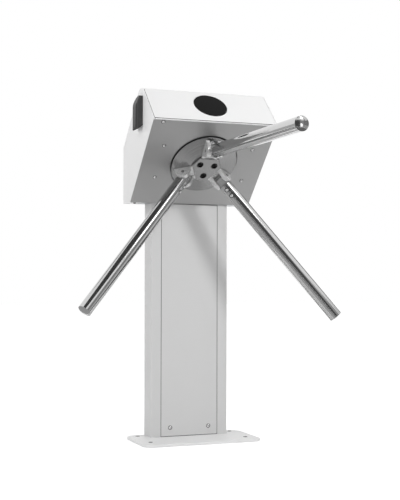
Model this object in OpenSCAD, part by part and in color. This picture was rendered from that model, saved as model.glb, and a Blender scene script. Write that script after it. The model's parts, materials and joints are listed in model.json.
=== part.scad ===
// Tripod turnstile on a free-standing column.
// Origin: centre of the base plate, on the floor. +Z is up, -Y is the front,
// where the barring arm reaches across the passage.

/* [Base plate] */
// Width of the base plate
base_w = 360; // [340:2:420]
// Depth of the base plate, front to back
base_d = 192; // [180:2:240]
// Thickness of the base plate
base_t = 8; // [6:0.5:12]
// Corner radius of the base plate
base_r = 28; // [10:1:36]
// Anchor hole spacing, side to side
anchor_dx = 292; // [280:2:310]
// Anchor hole spacing, front to back
anchor_dy = 120; // [100:2:130]
// Distance from the back edge to the rear anchor holes
anchor_back = 20; // [16:1:24]
// Diameter of an anchor hole
anchor_d = 13; // [10:1:16]
// Side of the square cable opening in the base plate
cable_hole = 36; // [20:2:40]

/* [Column] */
// Width of the column
col_w = 240; // [220:2:270]
// Depth of the column
col_d = 62; // [56:1:70]
// Height of the column above the base plate
col_h = 683; // [600:5:760]
// Sheet thickness of the column and its front panel
col_t = 2; // [1.5:0.25:3]
// Width of each front edge member beside the panel
col_edge = 31; // [24:1:40]
// Outer bend radius of the column
col_bend = 3; // [2.5:0.25:5]
// Gap all round the front panel
panel_gap = 1; // [0.5:0.25:2]
// Distance of the panel screws from the panel's centre line
panel_screw_x = 60; // [40:2:70]
// Height of the panel screws above the base plate
panel_screw_z = 26; // [20:1:32]
// Diameter of a panel screw's head
panel_screw_d = 8; // [6:0.5:9]
// Width of the ledge that the panel laps on
ledge_w = 10; // [8:1:14]

/* [Head] */
// Width of the head
head_w = 372; // [360:2:420]
// Depth of the head's flat underside
head_foot = 70; // [66:1:76]
// How far the head stands behind the column
head_over = 2; // [1:0.5:6]
// Length of the sloping front plane that carries the hub plate
front_len = 301; // [292:1:320]
// Lean of that plane from the horizontal
front_lean = 45.4; // [44:0.2:46]
// Length of the upper front face up to its sharp corner
top_len = 167; // [160:1:180]
// Slope of the upper front face
top_slope = 45; // [43:0.5:47]
// Slope of the upper back face
back_slope = 45.7; // [44:0.1:47]
// Radius of the rounded top
top_round = 40; // [30:1:45]
// Sheet thickness of the hood
hood_t = 1.5; // [1:0.25:2.5]
// Diameter of the round reader window
window_d = 98; // [80:1:110]
// Distance of the window's centre from the ridge
window_up = 76; // [70:1:80]
// Thickness of the reader window
window_t = 3; // [2:0.5:4]

/* [Hub plate] */
// Thickness of the brushed hub plate
plate_t = 2; // [1.5:0.25:3]
// Strip of the hood that shows above the hub plate
plate_lip = 5; // [3:0.5:8]
// Distance of the hub's axis from the plate's lower edge
hub_up = 152.6; // [150:0.2:156]
// Distance of the side screws from the centre line
side_screw_x = 134.5; // [130:0.5:140]
// Distance of the lower side screws from the plate's lower edge
low_screw_up = 96; // [90:1:100]
// Distance of the upper side screws from the plate's lower edge
mid_screw_up = 210; // [200:1:220]
// Distance of the top screws from the plate's side edges
top_screw_edge = 29; // [21:1:36]
// Distance of the top screws below the plate's upper edge
top_screw_in = 6; // [5:0.5:9]
// Diameter of a plate screw's head
plate_screw_d = 8; // [6:0.5:9]

/* [Signal modules] */
// How far a signal module stands out from the side
sig_out = 19; // [12:1:24]
// Depth of a signal module, front to back
sig_d = 41; // [32:1:50]
// Height of a signal module
sig_h = 98; // [80:1:105]
// Distance of its front face behind the ridge
sig_back = 98; // [90:1:105]
// Height of its underside above the head's underside
sig_z = 195; // [185:1:200]
// Rise of its underside towards the head
sig_rise = 14; // [6:1:18]
// Radius of its upper back corner
sig_round = 24; // [10:1:30]
// Thickness of its lens
sig_lens_t = 2; // [1:0.25:3]

/* [Hub] */
// Diameter of the hub disc
disc_d = 194; // [184:1:200]
// Gap between the hub disc and its opening
disc_gap = 2.5; // [1.5:0.25:4]
// How far the disc's rim stands out of the hub plate
disc_rim = 5; // [3:0.5:7]
// Height of the disc's flat top above the hub plate
disc_top = 17; // [14:0.5:19]
// Radius of the disc's flat top
disc_flat = 46; // [44:0.5:50]
// Height of the hub's end face above the hub plate
core_top = 24; // [22:0.5:26]
// Distance of the end face's flats from the axis
core_flat = 35; // [32:0.5:37]
// Distance of the end face's corners from the axis
core_corner = 45; // [42:0.5:46]
// Diameter of a socket in the hub's end face
socket_d = 19; // [14:0.5:20]
// Distance of the sockets from the axis
socket_r = 25.2; // [22:0.2:27]
// How far the hub stands turned from its upright place
rest_turn = -2.6; // [-6:0.1:6]

/* [Arms] */
// Diameter of an arm's tube
tube_d = 38; // [34:0.5:40]
// Wall of an arm's tube
tube_t = 1.5; // [1:0.25:3]
// Angle between an arm and the hub's axis
arm_cone = 45.8; // [44:0.1:47]
// Length of an arm from its hinge pin to its tip
arm_len = 518; // [420:2:560]
// Rise of the domed end cap
cap_rise = 4; // [2:0.5:8]
// Depth of the end cap's plug
cap_plug = 18; // [10:1:30]
// Distance of the hinge pin from the hub's axis
pin_out = 66; // [64:0.5:70]
// Height of the hinge pin above the hub plate
pin_up = 27.6; // [26:0.2:32]
// Diameter of a hinge pin
pin_d = 10; // [8:0.5:12]
// Radius of the rounded ears round the pin
ear_r = 16.5; // [14:0.5:17]
// Thickness of an ear
ear_t = 12; // [8:0.5:14]
// Gap between the two ears
ear_gap = 24; // [20:0.5:26]
// Width of the tongue between the ears
tongue_w = 23; // [18:0.5:25]
// Radius of the tongue round the pin
tongue_r = 12; // [10:0.5:13]
// Distance from the pin to the start of the tube
tube_start = 18.5; // [18:0.25:24]
// Depth of the tongue's plug in the tube
plug_len = 44; // [30:1:60]
// Distance from the pin to the first arm screw
arm_screw_1 = 32; // [28:1:36]
// Distance from the pin to the second arm screw
arm_screw_2 = 53; // [46:1:58]
// Diameter of an arm screw's head
arm_screw_d = 6.4; // [5:0.2:8]

/* [Drive] */
// Diameter of the hub shaft
shaft_d = 25; // [20:1:28]
// Outer diameter of a shaft bearing
bearing_d = 52; // [46:1:54]
// Width of a shaft bearing
bearing_w = 15; // [12:0.5:16]
// Wall of the bearing housing
housing_wall = 6; // [5:0.5:8]
// Length of the bearing housing
housing_len = 46; // [42:1:50]
// Thickness of the mechanism plate
mech_t = 6; // [4:0.5:8]
// Distance of the mechanism plate behind the front plane
mech_in = 8; // [7:0.5:10]
// Module of the gears, the pitch diameter for each tooth
gear_module = 2; // [1.5:0.25:2]
// Teeth on the drive gear
gear_teeth = 48; // [42:3:48]
// Teeth on the damper pinion
pinion_teeth = 16; // [14:1:16]
// Face width of the gears
gear_w = 8; // [6:0.5:8]
// Outer radius of the locking disc
lock_r = 55; // [50:1:56]
// Depth of a notch in the locking disc
notch_deep = 11; // [9:0.5:12]
// Width of a notch in the locking disc
notch_w = 20; // [18:0.5:22]

/* [Hidden] */

// Overrun of a cut past the face it opens, and the space left between pieces that don't touch
over = 1;
clear = 0.3;
// Running fit of a pin or shaft in its bore, and the closer fit of a fixed one
run_fit = 0.05;
snug = 0.02;
// Facets of large, middle and small round shapes
fine = 96;
mid = 48;
small = 32;

// Places that follow from the column and the head's outline
col_front = base_d/2 - col_d;
col_top = base_t + col_h;
head_back = base_d/2 + head_over;
foot_front = head_back - head_foot;
foot = [foot_front, col_top];
ridge = foot + front_len*[-cos(front_lean), sin(front_lean)];
peak = ridge + top_len*[cos(top_slope), sin(top_slope)];
knee = [head_back, peak.y - (head_back - peak.x)*tan(back_slope)];
heel = [head_back, col_top];
// Directions of the outline's edges, clockwise from the hub plate's plane
edge_turns = [180 - front_lean, top_slope, -back_slope, -90, 180];
edge_starts = [foot, ridge, peak, knee, heel];
top_steps = 12;

// Hub axis: where it meets the hub plate's outer face, in y and z
hub_at = foot + hub_up*[-cos(front_lean), sin(front_lean)];
disc_r = disc_d/2;
hole_r = disc_r + disc_gap;
arm_turns = [90, 210, 330];

// Where the upper front face starts to bend into the rounded top
bend_start = top_len - top_round*tan((top_slope + back_slope)/2);

// Column sheet and panel
panel_half = col_w/2 - col_edge - panel_gap;
ledge_lap = 2;
crossbar_h = 20;
flange_t = 3;
screw_r = 2;
dome_share = 0.55;

// Head floor, hood flanges and chassis
floor_t = 3;
hood_flange_in = 36;
flange_space = 1;
floor_half = head_w/2 - hood_flange_in - flange_space;
wing_in = 9;
wing_end = 4;
floor_bolt_x = 85;
floor_bolt_in = 12;
floor_bolt_r = 4;
hex_share = 1.6;
duct_x = 30;
duct_w = 50;
duct_d = 26;
hood_screw_edge = 18;
hood_screw_x = head_w/2 - hood_screw_edge;
top_screw_x = head_w/2 - top_screw_edge;
hood_screw_y = 16;
hood_screw_r = 5;
flange_w = 24;
gusset_x = 127;
gusset_t = 3;
gusset_top = 60;
gusset_back = 8;
gusset_flange = 20;
gusset_flange_t = 2;
back_sheet_in = 14;
back_sheet_y = head_back - back_sheet_in;
back_sheet_t = 2;
back_sheet_h = 140;
standoff_h = 8;
standoff_r = 3;
board_w = 104;
board_h = 96;
board_t = 1.6;
board_x = -64;
board_z = 24;
board_in = 6;
psu_w = 96;
psu_h = 84;
psu_d = 34;
psu_x = 62;
psu_z = 10;
psu_lip = 2;

// Reader behind its window
cup_wall = 7;
cup_h = 14;

// Signal lens inside the module's outer face
sig_frame = 4;

// Bearings, mechanism plate and what it carries, as depths behind the front plane
race_t = 4.5;
ball_count = 9;
ball_gap = 0.2;
bearing_front = mech_in + mech_t + 4;
bearing_rear = mech_in + mech_t + housing_len - bearing_w - 2;
housing_r = bearing_d/2 + housing_wall;
housing_flange_r = housing_r + 9;
housing_flange_t = 8;
housing_bolt_r = 2.5;
mech_half = 110;
shaft_flange_r = 42;
shaft_flange_back = 5;
shaft_flange_front = 3;
shaft_end = 98;
sensor_in = 61;
sensor_t = 1.5;
sensor_r = 44;
sensor_slots = 12;
sensor_slot_w = 5;
sensor_slot_h = 7;
fork_w = 18;
fork_reach = 9;
fork_wall = 3;
fork_gap = 1.2;
gear_in = 68;
gear_backlash = 0.12;
gear_add_share = 0.8;
gear_ded_share = 1.2;
gear_pressure = 20;
damper_r = 20;
damper_shaft_r = 4;
damper_back = 4;
lock_in = 82;
lock_t = 8;
notches = 6;
nut_r = 18;
nut_h = 7;

// Locking pawls, their posts and plungers, beside the hub's axis
post_x = 74;
post_up = 26;
post_r = 4;
pawl_t = 6;
pawl_boss_r = 9;
pawl_half = 6;
nose_gap = 2.5;
nose_low = 36;
nose_high = 28;
link_up = 30;
link_r = 3;
link_slack = 1.5;
fork_block_h = 16;
fork_block_t = 16;
fork_block_back = 8;
fork_block_front = 10;
plunger_r = 5;
plunger_reach = 36;
coil_gap = 20;
coil_h = 32;
coil_bore_end = 48;
spring_h = 9;
spring_wall = 3;

// Hub casting and arms
core_bolt_r = 6;
core_bolt_h = 4;
neck_h = 20;
plug_fit = 0.1;
arm_screw_len = 9;
arm_screw_shank = 2;
grommet_lip = 3;
grommet_h = 3;
cone_gap = 0.4;

// Where two lines through p and q at angles a and b meet
function meet(p, a, q, b) =
    let (d = [cos(a), sin(a)], e = [cos(b), sin(b)], w = q - p)
    p + d*(w.x*e.y - w.y*e.x)/(d.x*e.y - d.y*e.x);

// Point p moved inward by t from an outline edge that runs at angle a
function inward(p, a, t) = p + t*[sin(a), -cos(a)];

// Corners of the head's outline with each edge moved inward by its own inset
function head_corners(insets) = [for (i = [0:4])
    let (j = (i + 4)%5)
    meet(inward(edge_starts[j], edge_turns[j], insets[j]), edge_turns[j],
         inward(edge_starts[i], edge_turns[i], insets[i]), edge_turns[i])];

// The same outline with its top corner rounded
function head_outline(insets, r) =
    let (c = head_corners(insets), a = edge_turns[1], b = edge_turns[2],
         start = c[2] - r*tan((a - b)/2)*[cos(a), sin(a)],
         mid_at = inward(start, a, r))
    concat([c[0], c[1]],
           [for (i = [0:top_steps]) let (t = a + 90 + (b - a)*i/top_steps) mid_at + r*[cos(t), sin(t)]],
           [c[3], c[4]]);

// Involute gear outline with stub teeth, a tooth centred on +X
function roll(r, base) = sqrt(max(0, pow(r/base, 2) - 1))*180/PI;
function flank(r, base) = roll(r, base) - atan(roll(r, base)*PI/180);
function half_tooth(r, pitch, teeth) =
    let (base = pitch*cos(gear_pressure))
    90/teeth - gear_backlash/2/pitch*180/PI + flank(pitch, base) - flank(max(r, base), base);
function gear_points(teeth) =
    let (pitch = gear_module*teeth/2, root = pitch - gear_ded_share*gear_module,
         tip = pitch + gear_add_share*gear_module, base = max(root, pitch*cos(gear_pressure)),
         steps = [root, base, (base + pitch)/2, pitch, (pitch + tip)/2, tip])
    [for (k = [0:teeth - 1]) each concat(
        [for (r = steps) let (t = k*360/teeth - half_tooth(r, pitch, teeth)) r*[cos(t), sin(t)]],
        [for (i = [5:-1:0]) let (r = steps[i], t = k*360/teeth + half_tooth(r, pitch, teeth))
            r*[cos(t), sin(t)]])];
gear_centres = gear_module*(gear_teeth + pinion_teeth)/2;

// A shape drawn in y and z, extruded along x about the middle plane
module along_x(w) {
    rotate([90, 0, 90]) linear_extrude(w, center = true) children();
}

// Hub frame: origin where the axis meets the plate's outer face, +Z out along the axis, +Y up the plate
module at_hub() {
    translate([0, hub_at.x, hub_at.y]) rotate([180 - front_lean, 0, 0]) children();
}

// Plate frame: origin at the middle of the plate's lower edge, +Y up the plate, +Z out of it
module at_plate() {
    translate([0, foot.x, foot.y]) rotate([180 - front_lean, 0, 0]) children();
}

// Upper front face: origin at the middle of the ridge, +Y up the face, +Z out of it
module at_top() {
    translate([0, ridge.x, ridge.y]) rotate([top_slope, 0, 0]) children();
}

// Rectangle with round corners, its middle at the origin
module round_rect(w, d, r) {
    square([w - 2*r, d], center = true);
    square([w, d - 2*r], center = true);
    for (x = [-1, 1]) for (y = [-1, 1])
        translate([x*(w/2 - r), y*(d/2 - r)]) circle(r, $fn = small);
}

// Low domed screw head of radius r standing on z = 0
module dome_head(r) {
    h = r*dome_share;
    big = (r*r + h*h)/(2*h);
    intersection() {
        translate([0, 0, h - big]) sphere(big, $fn = mid);
        cylinder(h, r = r, $fn = mid);
    }
}

// Domed screw: head on z = 0 and a shank of radius s down to -depth
module dome_screw(r, s, depth) {
    dome_head(r);
    translate([0, 0, -depth]) cylinder(depth, r = s, $fn = small);
}

module anchor_places() {
    for (x = [-1, 1]) for (y = [0, 1])
        translate([x*anchor_dx/2, base_d/2 - anchor_back - y*anchor_dy]) children();
}

module base_plate() {
    color("lightgray") difference() {
        linear_extrude(base_t) round_rect(base_w, base_d, base_r);
        anchor_places() translate([0, 0, -over]) cylinder(base_t + 2*over, d = anchor_d, $fn = mid);
        translate([duct_x, col_front + col_d/2, base_t/2])
            cube([cable_hole, cable_hole, base_t + 2*over], center = true);
    }
}

module column_shell() {
    mid_y = col_front + col_d/2;
    open_half = col_w/2 - col_edge;
    ledge_half = open_half - ledge_w;
    ledge_y = col_front + col_t + col_t/2;
    color("gainsboro") difference() {
        union() {
            translate([0, mid_y, base_t]) linear_extrude(col_h) difference() {
                round_rect(col_w, col_d, col_bend);
                square([col_w - 2*col_t, col_d - 2*col_t], center = true);
                translate([0, -col_d/2]) square([2*open_half, 4*col_t - over], center = true);
            }
            for (x = [-1, 1]) translate([x*(open_half + (ledge_lap - ledge_w)/2), ledge_y, base_t + col_h/2])
                cube([ledge_w + ledge_lap, col_t, col_h], center = true);
            translate([0, ledge_y, base_t + panel_screw_z])
                cube([2*ledge_half + over, col_t, crossbar_h], center = true);
            for (z = [base_t + flange_t/2, col_top - flange_t/2])
                translate([0, mid_y + col_t/2, z])
                    cube([col_w - 2*col_t + over, col_d - 3*col_t, flange_t], center = true);
        }
        for (x = [-1, 1])
            translate([x*panel_screw_x, col_front, base_t + panel_screw_z]) rotate([-90, 0, 0])
                cylinder(3*col_t, r = screw_r + snug, $fn = small);
        translate([duct_x, mid_y, base_t]) cube([cable_hole, cable_hole, 2*flange_t + over], center = true);
        translate([duct_x, mid_y, col_top]) cube([duct_w, duct_d, 2*flange_t + over], center = true);
        floor_bolt_places() translate([0, 0, -flange_t - over])
            cylinder(flange_t + 2*over, r = floor_bolt_r + snug, $fn = small);
    }
}

module column_panel() {
    color("gainsboro") difference() {
        translate([-panel_half, col_front, base_t + panel_gap])
            cube([2*panel_half, col_t, col_h - 2*panel_gap]);
        for (x = [-1, 1])
            translate([x*panel_screw_x, col_front - over, base_t + panel_screw_z]) rotate([-90, 0, 0])
                cylinder(col_t + 2*over, r = screw_r + snug, $fn = small);
    }
}

module panel_screws() {
    color("silver") for (x = [-1, 1])
        translate([x*panel_screw_x, col_front, base_t + panel_screw_z]) rotate([90, 0, 0])
            dome_screw(panel_screw_d/2, screw_r, col_t + col_t + over);
}

// Rubber edging of the cable opening in the column's foot
module cable_grommet() {
    rim = cable_hole - 2*clear;
    lip = cable_hole + 2*grommet_lip;
    color("dimgray") translate([duct_x, col_front + col_d/2, base_t + flange_t]) difference() {
        union() {
            translate([0, 0, grommet_h/2]) cube([lip, lip, grommet_h], center = true);
            translate([0, 0, -flange_t]) cube([rim, rim, 2*flange_t], center = true);
        }
        cube([rim - 2*grommet_lip, rim - 2*grommet_lip, 6*flange_t], center = true);
    }
}

module floor_bolt_places() {
    for (x = [-1, 1]) for (y = [-1, 1])
        translate([x*floor_bolt_x, col_front + col_d/2 + y*floor_bolt_in, col_top]) children();
}

module hood_screw_places() {
    for (x = [-1, 1]) translate([x*hood_screw_x, foot_front + hood_screw_y, col_top]) children();
}

// Floor of the head, bolted to the column's top, with raised wings over the hood's flanges
module head_floor() {
    front = foot_front + plate_t/sin(front_lean) + clear;
    depth = head_back - hood_t - clear - front;
    wing_half = head_w/2 - hood_t - wing_end;
    wing_w = wing_half - floor_half + wing_in;
    color("silver") difference() {
        union() {
            translate([-floor_half, front, col_top]) cube([2*floor_half, depth, floor_t]);
            for (x = [-1, 1])
                translate([x*(wing_half - wing_w/2), front + depth/2, col_top + hood_t + floor_t/2])
                    cube([wing_w, depth, floor_t], center = true);
        }
        floor_bolt_places() translate([0, 0, -over])
            cylinder(floor_t + 2*over, r = floor_bolt_r + snug, $fn = small);
        hood_screw_places() cylinder(floor_t + hood_t + over, r = screw_r + snug, $fn = small);
        translate([duct_x, col_front + col_d/2, col_top]) cube([duct_w, duct_d, 3*floor_t], center = true);
    }
}

module floor_bolts() {
    low = flange_t + floor_bolt_r;
    color("silver") floor_bolt_places() {
        translate([0, 0, floor_t]) cylinder(floor_bolt_r, r = hex_share*floor_bolt_r, $fn = 6);
        translate([0, 0, -low]) cylinder(low + floor_t + over, r = floor_bolt_r, $fn = small);
        translate([0, 0, -low]) cylinder(floor_bolt_r, r = hex_share*floor_bolt_r, $fn = 6);
    }
}

// Sheet hood: upper front, top, back and both sides in one, with flanges under the floor and at the ridge
module hood() {
    flange_mid = (foot_front + head_back + wing_end)/2;
    lip_low = front_len - plate_lip;
    screw_hole = 2*(plate_t + hood_t) + over;
    color("white") difference() {
        union() {
            difference() {
                along_x(head_w) polygon(head_outline([0, 0, 0, 0, 0], top_round));
                along_x(head_w - 2*hood_t)
                    polygon(head_outline([-over, hood_t, hood_t, hood_t, -over], top_round - hood_t));
                at_plate() translate([-head_w/2 - over, -over, -plate_t])
                    cube([head_w + 2*over, lip_low + over, plate_t + over]);
            }
            at_plate() translate([-head_w/2 + hood_t/2, lip_low, -plate_t - hood_t])
                cube([head_w - hood_t, plate_lip - clear, plate_t + hood_t - snug]);
            at_plate() translate([-head_w/2 + hood_t/2, lip_low - flange_w, -plate_t - hood_t])
                cube([head_w - hood_t, flange_w + over, hood_t]);
            for (x = [-1, 1])
                translate([x*(head_w/2 - hood_flange_in/2 - hood_t/4), flange_mid, col_top + hood_t/2])
                    cube([hood_flange_in - hood_t/2, head_foot - wing_end - hood_t, hood_t], center = true);
        }
        at_top() translate([0, window_up, 0])
            cylinder(4*hood_t, r = window_d/2 + clear, center = true, $fn = fine);
        top_screw_places() cylinder(screw_hole, r = screw_r + snug, center = true, $fn = small);
        hood_screw_places() cylinder(4*hood_t, r = screw_r + snug, center = true, $fn = small);
    }
}

module hood_screws() {
    color("dimgray") hood_screw_places() mirror([0, 0, 1])
        dome_screw(hood_screw_r, screw_r, floor_t + hood_t + over);
}

module side_screw_places() {
    at_plate() for (x = [-1, 1]) for (u = [low_screw_up, mid_screw_up])
        translate([x*side_screw_x, u, 0]) children();
}

module top_screw_places() {
    at_plate() for (x = [-1, 1])
        translate([x*top_screw_x, front_len - plate_lip - top_screw_in, 0]) children();
}

module hub_plate() {
    color("darkgray") difference() {
        at_plate() translate([-head_w/2 + clear, 0, -plate_t])
            cube([head_w - 2*clear, front_len - plate_lip - clear, plate_t]);
        at_hub() cylinder(4*plate_t, r = hole_r, center = true, $fn = fine);
        side_screw_places() cylinder(4*plate_t, r = screw_r + snug, center = true, $fn = small);
        top_screw_places() cylinder(4*plate_t, r = screw_r + snug, center = true, $fn = small);
    }
}

module plate_screws() {
    color("silver") {
        side_screw_places() dome_screw(plate_screw_d/2, screw_r, plate_t + gusset_flange_t + over);
        top_screw_places() dome_screw(plate_screw_d/2, screw_r, plate_t + hood_t + over);
    }
}

module gusset_right() {
    front_in = plate_t + gusset_flange_t;
    color("silver") difference() {
        union() {
            translate([gusset_x + gusset_t/2, 0, 0]) along_x(gusset_t)
                polygon(head_corners([front_in - over, gusset_top, gusset_top, gusset_back, floor_t]));
            at_plate() translate([gusset_x, gusset_top/2, -front_in])
                cube([gusset_flange, mid_screw_up - gusset_top/2 + gusset_flange, gusset_flange_t]);
        }
        side_screw_places() cylinder(4*front_in, r = screw_r + snug, center = true, $fn = small);
    }
}

module gusset_left() {
    mirror([1, 0, 0]) gusset_right();
}

module board_places() {
    for (x = [-1, 1]) for (z = [0, 1])
        translate([board_x + x*(board_w/2 - board_in), back_sheet_y,
                   col_top + floor_t + board_z + board_in + z*(board_h - 2*board_in)])
            rotate([90, 0, 0]) children();
}

module chassis_back() {
    color("silver") {
        translate([-gusset_x, back_sheet_y, col_top + floor_t])
            cube([2*gusset_x, back_sheet_t, back_sheet_h]);
        board_places() translate([0, 0, -over]) cylinder(standoff_h + over, r = standoff_r, $fn = small);
    }
}

module control_board() {
    z0 = col_top + floor_t + board_z;
    face = back_sheet_y - standoff_h - board_t;
    block = board_w/4;
    color("darkgreen") {
        translate([board_x - board_w/2, face, z0]) cube([board_w, board_t, board_h]);
        translate([board_x - block/2, face - block/3, z0 + board_h/2]) cube([block, block/3 + over/2, block]);
        translate([board_x - board_w/2 + board_in*2, face - block/2, z0 + board_in/2])
            cube([board_w - 4*board_in, block/2 + over/2, block/2]);
    }
}

module power_supply() {
    z0 = col_top + floor_t + psu_z;
    color("silver") translate([psu_x - psu_w/2, back_sheet_y - psu_d, z0]) difference() {
        cube([psu_w, psu_d, psu_h]);
        translate([psu_lip, -over, psu_h - psu_d/2]) cube([psu_w - 2*psu_lip, psu_d/2, psu_d]);
    }
}

module reader_window() {
    color("black") at_top() translate([0, window_up, -window_t]) cylinder(window_t, d = window_d, $fn = fine);
}

// Cup behind the window that seats it and holds the reader's aerial, cut flat where the sheet bends away
module reader_cup() {
    color("dimgray") at_top() difference() {
        translate([0, window_up, -hood_t - cup_h])
            cylinder(cup_h, r = window_d/2 + cup_wall, $fn = fine);
        translate([0, window_up, -window_t]) cylinder(cup_h, r = window_d/2 + clear, $fn = fine);
        translate([-window_d, bend_start - clear, -2*cup_h]) cube([2*window_d, window_d, 4*cup_h]);
    }
}

// Signal module in y and z: square at the front, its upper back corner rounded
module signal_outline(inset) {
    y0 = ridge.x + sig_back + inset;
    z0 = col_top + sig_z + inset;
    w = sig_d - 2*inset;
    h = sig_h - 2*inset;
    r = sig_round - inset;
    translate([y0, z0]) {
        square([w, h - r]);
        square([w - r, h]);
        translate([w - r, h - r]) circle(r, $fn = mid);
    }
}

module signal_body() {
    x0 = head_w/2;
    z0 = col_top + sig_z;
    color("dimgray") difference() {
        translate([x0 + sig_out/2, 0, 0]) along_x(sig_out) signal_outline(0);
        translate([x0 + sig_out, 0, 0]) along_x(2*sig_lens_t) signal_outline(sig_frame);
        translate([0, ridge.x + sig_back - over, 0]) rotate([90, 0, 0]) mirror([0, 0, 1])
            linear_extrude(sig_d + 2*over) polygon([[x0 - over, z0 - over], [x0 + sig_out, z0 - over],
                [x0 + sig_out, z0], [x0, z0 + sig_rise], [x0 - over, z0 + sig_rise]]);
    }
}

module signal_lens() {
    color("black") translate([head_w/2 + sig_out - sig_lens_t/2, 0, 0])
        along_x(sig_lens_t) signal_outline(sig_frame + clear);
}

module signal_right() {
    signal_body();
}

module signal_left() {
    mirror([1, 0, 0]) signal_body();
}

module signal_lens_right() {
    signal_lens();
}

module signal_lens_left() {
    mirror([1, 0, 0]) signal_lens();
}

// Directions of the bearing housing's four bolts
module housing_bolt_places() {
    for (t = [45:90:315]) rotate([0, 0, t]) translate([(housing_r + housing_flange_r)/2, 0, 0]) children();
}

module mechanism_plate() {
    color("silver") at_hub() difference() {
        translate([-gusset_x, -mech_half, -mech_in - mech_t]) cube([2*gusset_x, 2*mech_half, mech_t]);
        cylinder(4*(mech_in + mech_t), r = shaft_d/2 + race_t + over, center = true, $fn = fine);
        translate([0, 0, -mech_in - mech_t]) housing_bolt_places()
            cylinder(4*mech_t, r = housing_bolt_r + snug, center = true, $fn = small);
        for (x = [-1, 1]) translate([x*post_x, post_up, -mech_in])
            cylinder(4*mech_t, r = post_r + snug, center = true, $fn = small);
    }
}

module bearing_housing() {
    start = mech_in + mech_t;
    color("gray") at_hub() difference() {
        union() {
            translate([0, 0, -start - housing_len]) cylinder(housing_len, r = housing_r, $fn = fine);
            translate([0, 0, -start - housing_flange_t])
                cylinder(housing_flange_t, r = housing_flange_r, $fn = fine);
        }
        translate([0, 0, -start - housing_len - over])
            cylinder(housing_len + 2*over, r = bearing_d/2 + snug, $fn = fine);
        translate([0, 0, -start]) housing_bolt_places()
            cylinder(4*housing_flange_t, r = housing_bolt_r + snug, center = true, $fn = small);
    }
}

module housing_bolts() {
    start = mech_in + mech_t + housing_flange_t;
    color("silver") at_hub() translate([0, 0, -start]) housing_bolt_places() {
        translate([0, 0, -housing_bolt_r]) cylinder(housing_bolt_r, r = hex_share*housing_bolt_r, $fn = 6);
        cylinder(start - mech_in, r = housing_bolt_r, $fn = small);
    }
}

// Tube of wall w inside radius r, over depths a to b behind the front plane
module ring(r, w, a, b) {
    translate([0, 0, -b]) difference() {
        cylinder(b - a, r = r, $fn = fine);
        translate([0, 0, -over]) cylinder(b - a + 2*over, r = r - w, $fn = fine);
    }
}

module outer_races() {
    color("silver") at_hub() for (z = [bearing_front, bearing_rear])
        ring(bearing_d/2, race_t, z, z + bearing_w);
}

module inner_races() {
    color("silver") at_hub() for (z = [bearing_front, bearing_rear])
        ring(shaft_d/2 + snug + race_t, race_t, z, z + bearing_w);
}

module bearing_balls() {
    in_r = shaft_d/2 + snug + race_t;
    out_r = bearing_d/2 - race_t;
    color("lightgray") at_hub() for (z = [bearing_front, bearing_rear]) for (i = [0:ball_count - 1])
        rotate([0, 0, i*360/ball_count]) translate([(in_r + out_r)/2, 0, -z - bearing_w/2])
            sphere((out_r - in_r)/2 - ball_gap, $fn = small);
}

// Stepped shaft with a flange behind the disc
module hub_shaft() {
    color("silver") at_hub() difference() {
        union() {
            translate([0, 0, -shaft_end]) cylinder(shaft_end, d = shaft_d, $fn = fine);
            translate([0, 0, -shaft_flange_back])
                cylinder(shaft_flange_back + shaft_flange_front, r = shaft_flange_r, $fn = fine);
        }
        socket_places() translate([0, 0, -shaft_flange_back - over])
            cylinder(shaft_flange_back + shaft_flange_front + 2*over, r = core_bolt_r/2 + snug, $fn = small);
    }
}

// The three sockets of the hub, midway between the arms
module socket_places() {
    for (t = arm_turns) rotate([0, 0, t + 60 + rest_turn]) translate([socket_r, 0, 0]) children();
}

// Low cone from the disc's rim up to the flat that seats the hub's casting
module disc_cone(grow) {
    rotate_extrude($fn = fine) polygon([[0, -over], [disc_r, -over], [disc_r, disc_rim + grow],
        [disc_flat, disc_top + grow], [0, disc_top + grow]]);
}

module hub_disc() {
    color("darkgray") at_hub() difference() {
        disc_cone(0);
        translate([0, 0, -2*over]) cylinder(shaft_flange_front + 2*over, r = disc_r - disc_rim, $fn = fine);
        socket_places() cylinder(4*disc_top, r = core_bolt_r/2 + snug, center = true, $fn = small);
    }
}

// Two ears of one arm's fork, drawn with the arm's radial direction along +X
module ears() {
    for (s = [-1, 1]) translate([0, s*(ear_gap + ear_t)/2, 0]) rotate([90, 0, 0]) difference() {
        linear_extrude(ear_t, center = true) {
            translate([pin_out, pin_up]) circle(ear_r, $fn = fine);
            translate([core_flat/2, 0]) square([pin_out - core_flat/2, core_top]);
        }
        translate([pin_out, pin_up, 0]) cylinder(2*ear_t, d = pin_d + 2*snug, center = true, $fn = mid);
    }
}

// Casting with the three-sided end face and three forks
module hub_core() {
    side = 2*core_corner;
    color("darkgray") at_hub() difference() {
        union() {
            translate([0, 0, disc_top]) linear_extrude(core_top - disc_top) intersection() {
                circle(core_corner, $fn = fine);
                intersection_for(t = arm_turns)
                    rotate(t + rest_turn) translate([core_flat - side, -side]) square([side, 2*side]);
            }
            difference() {
                for (t = arm_turns) rotate([0, 0, t + rest_turn]) ears();
                disc_cone(cone_gap);
                for (t = arm_turns) rotate([0, 0, t + rest_turn])
                    translate([core_flat, -ear_gap/2, 0]) cube([side, ear_gap, 2*core_top]);
            }
        }
        socket_places() {
            cylinder(4*core_top, r = core_bolt_r/2 + snug, center = true, $fn = small);
            translate([0, 0, disc_top + core_bolt_h/4]) cylinder(core_top, d = socket_d, $fn = mid);
        }
    }
}

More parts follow.
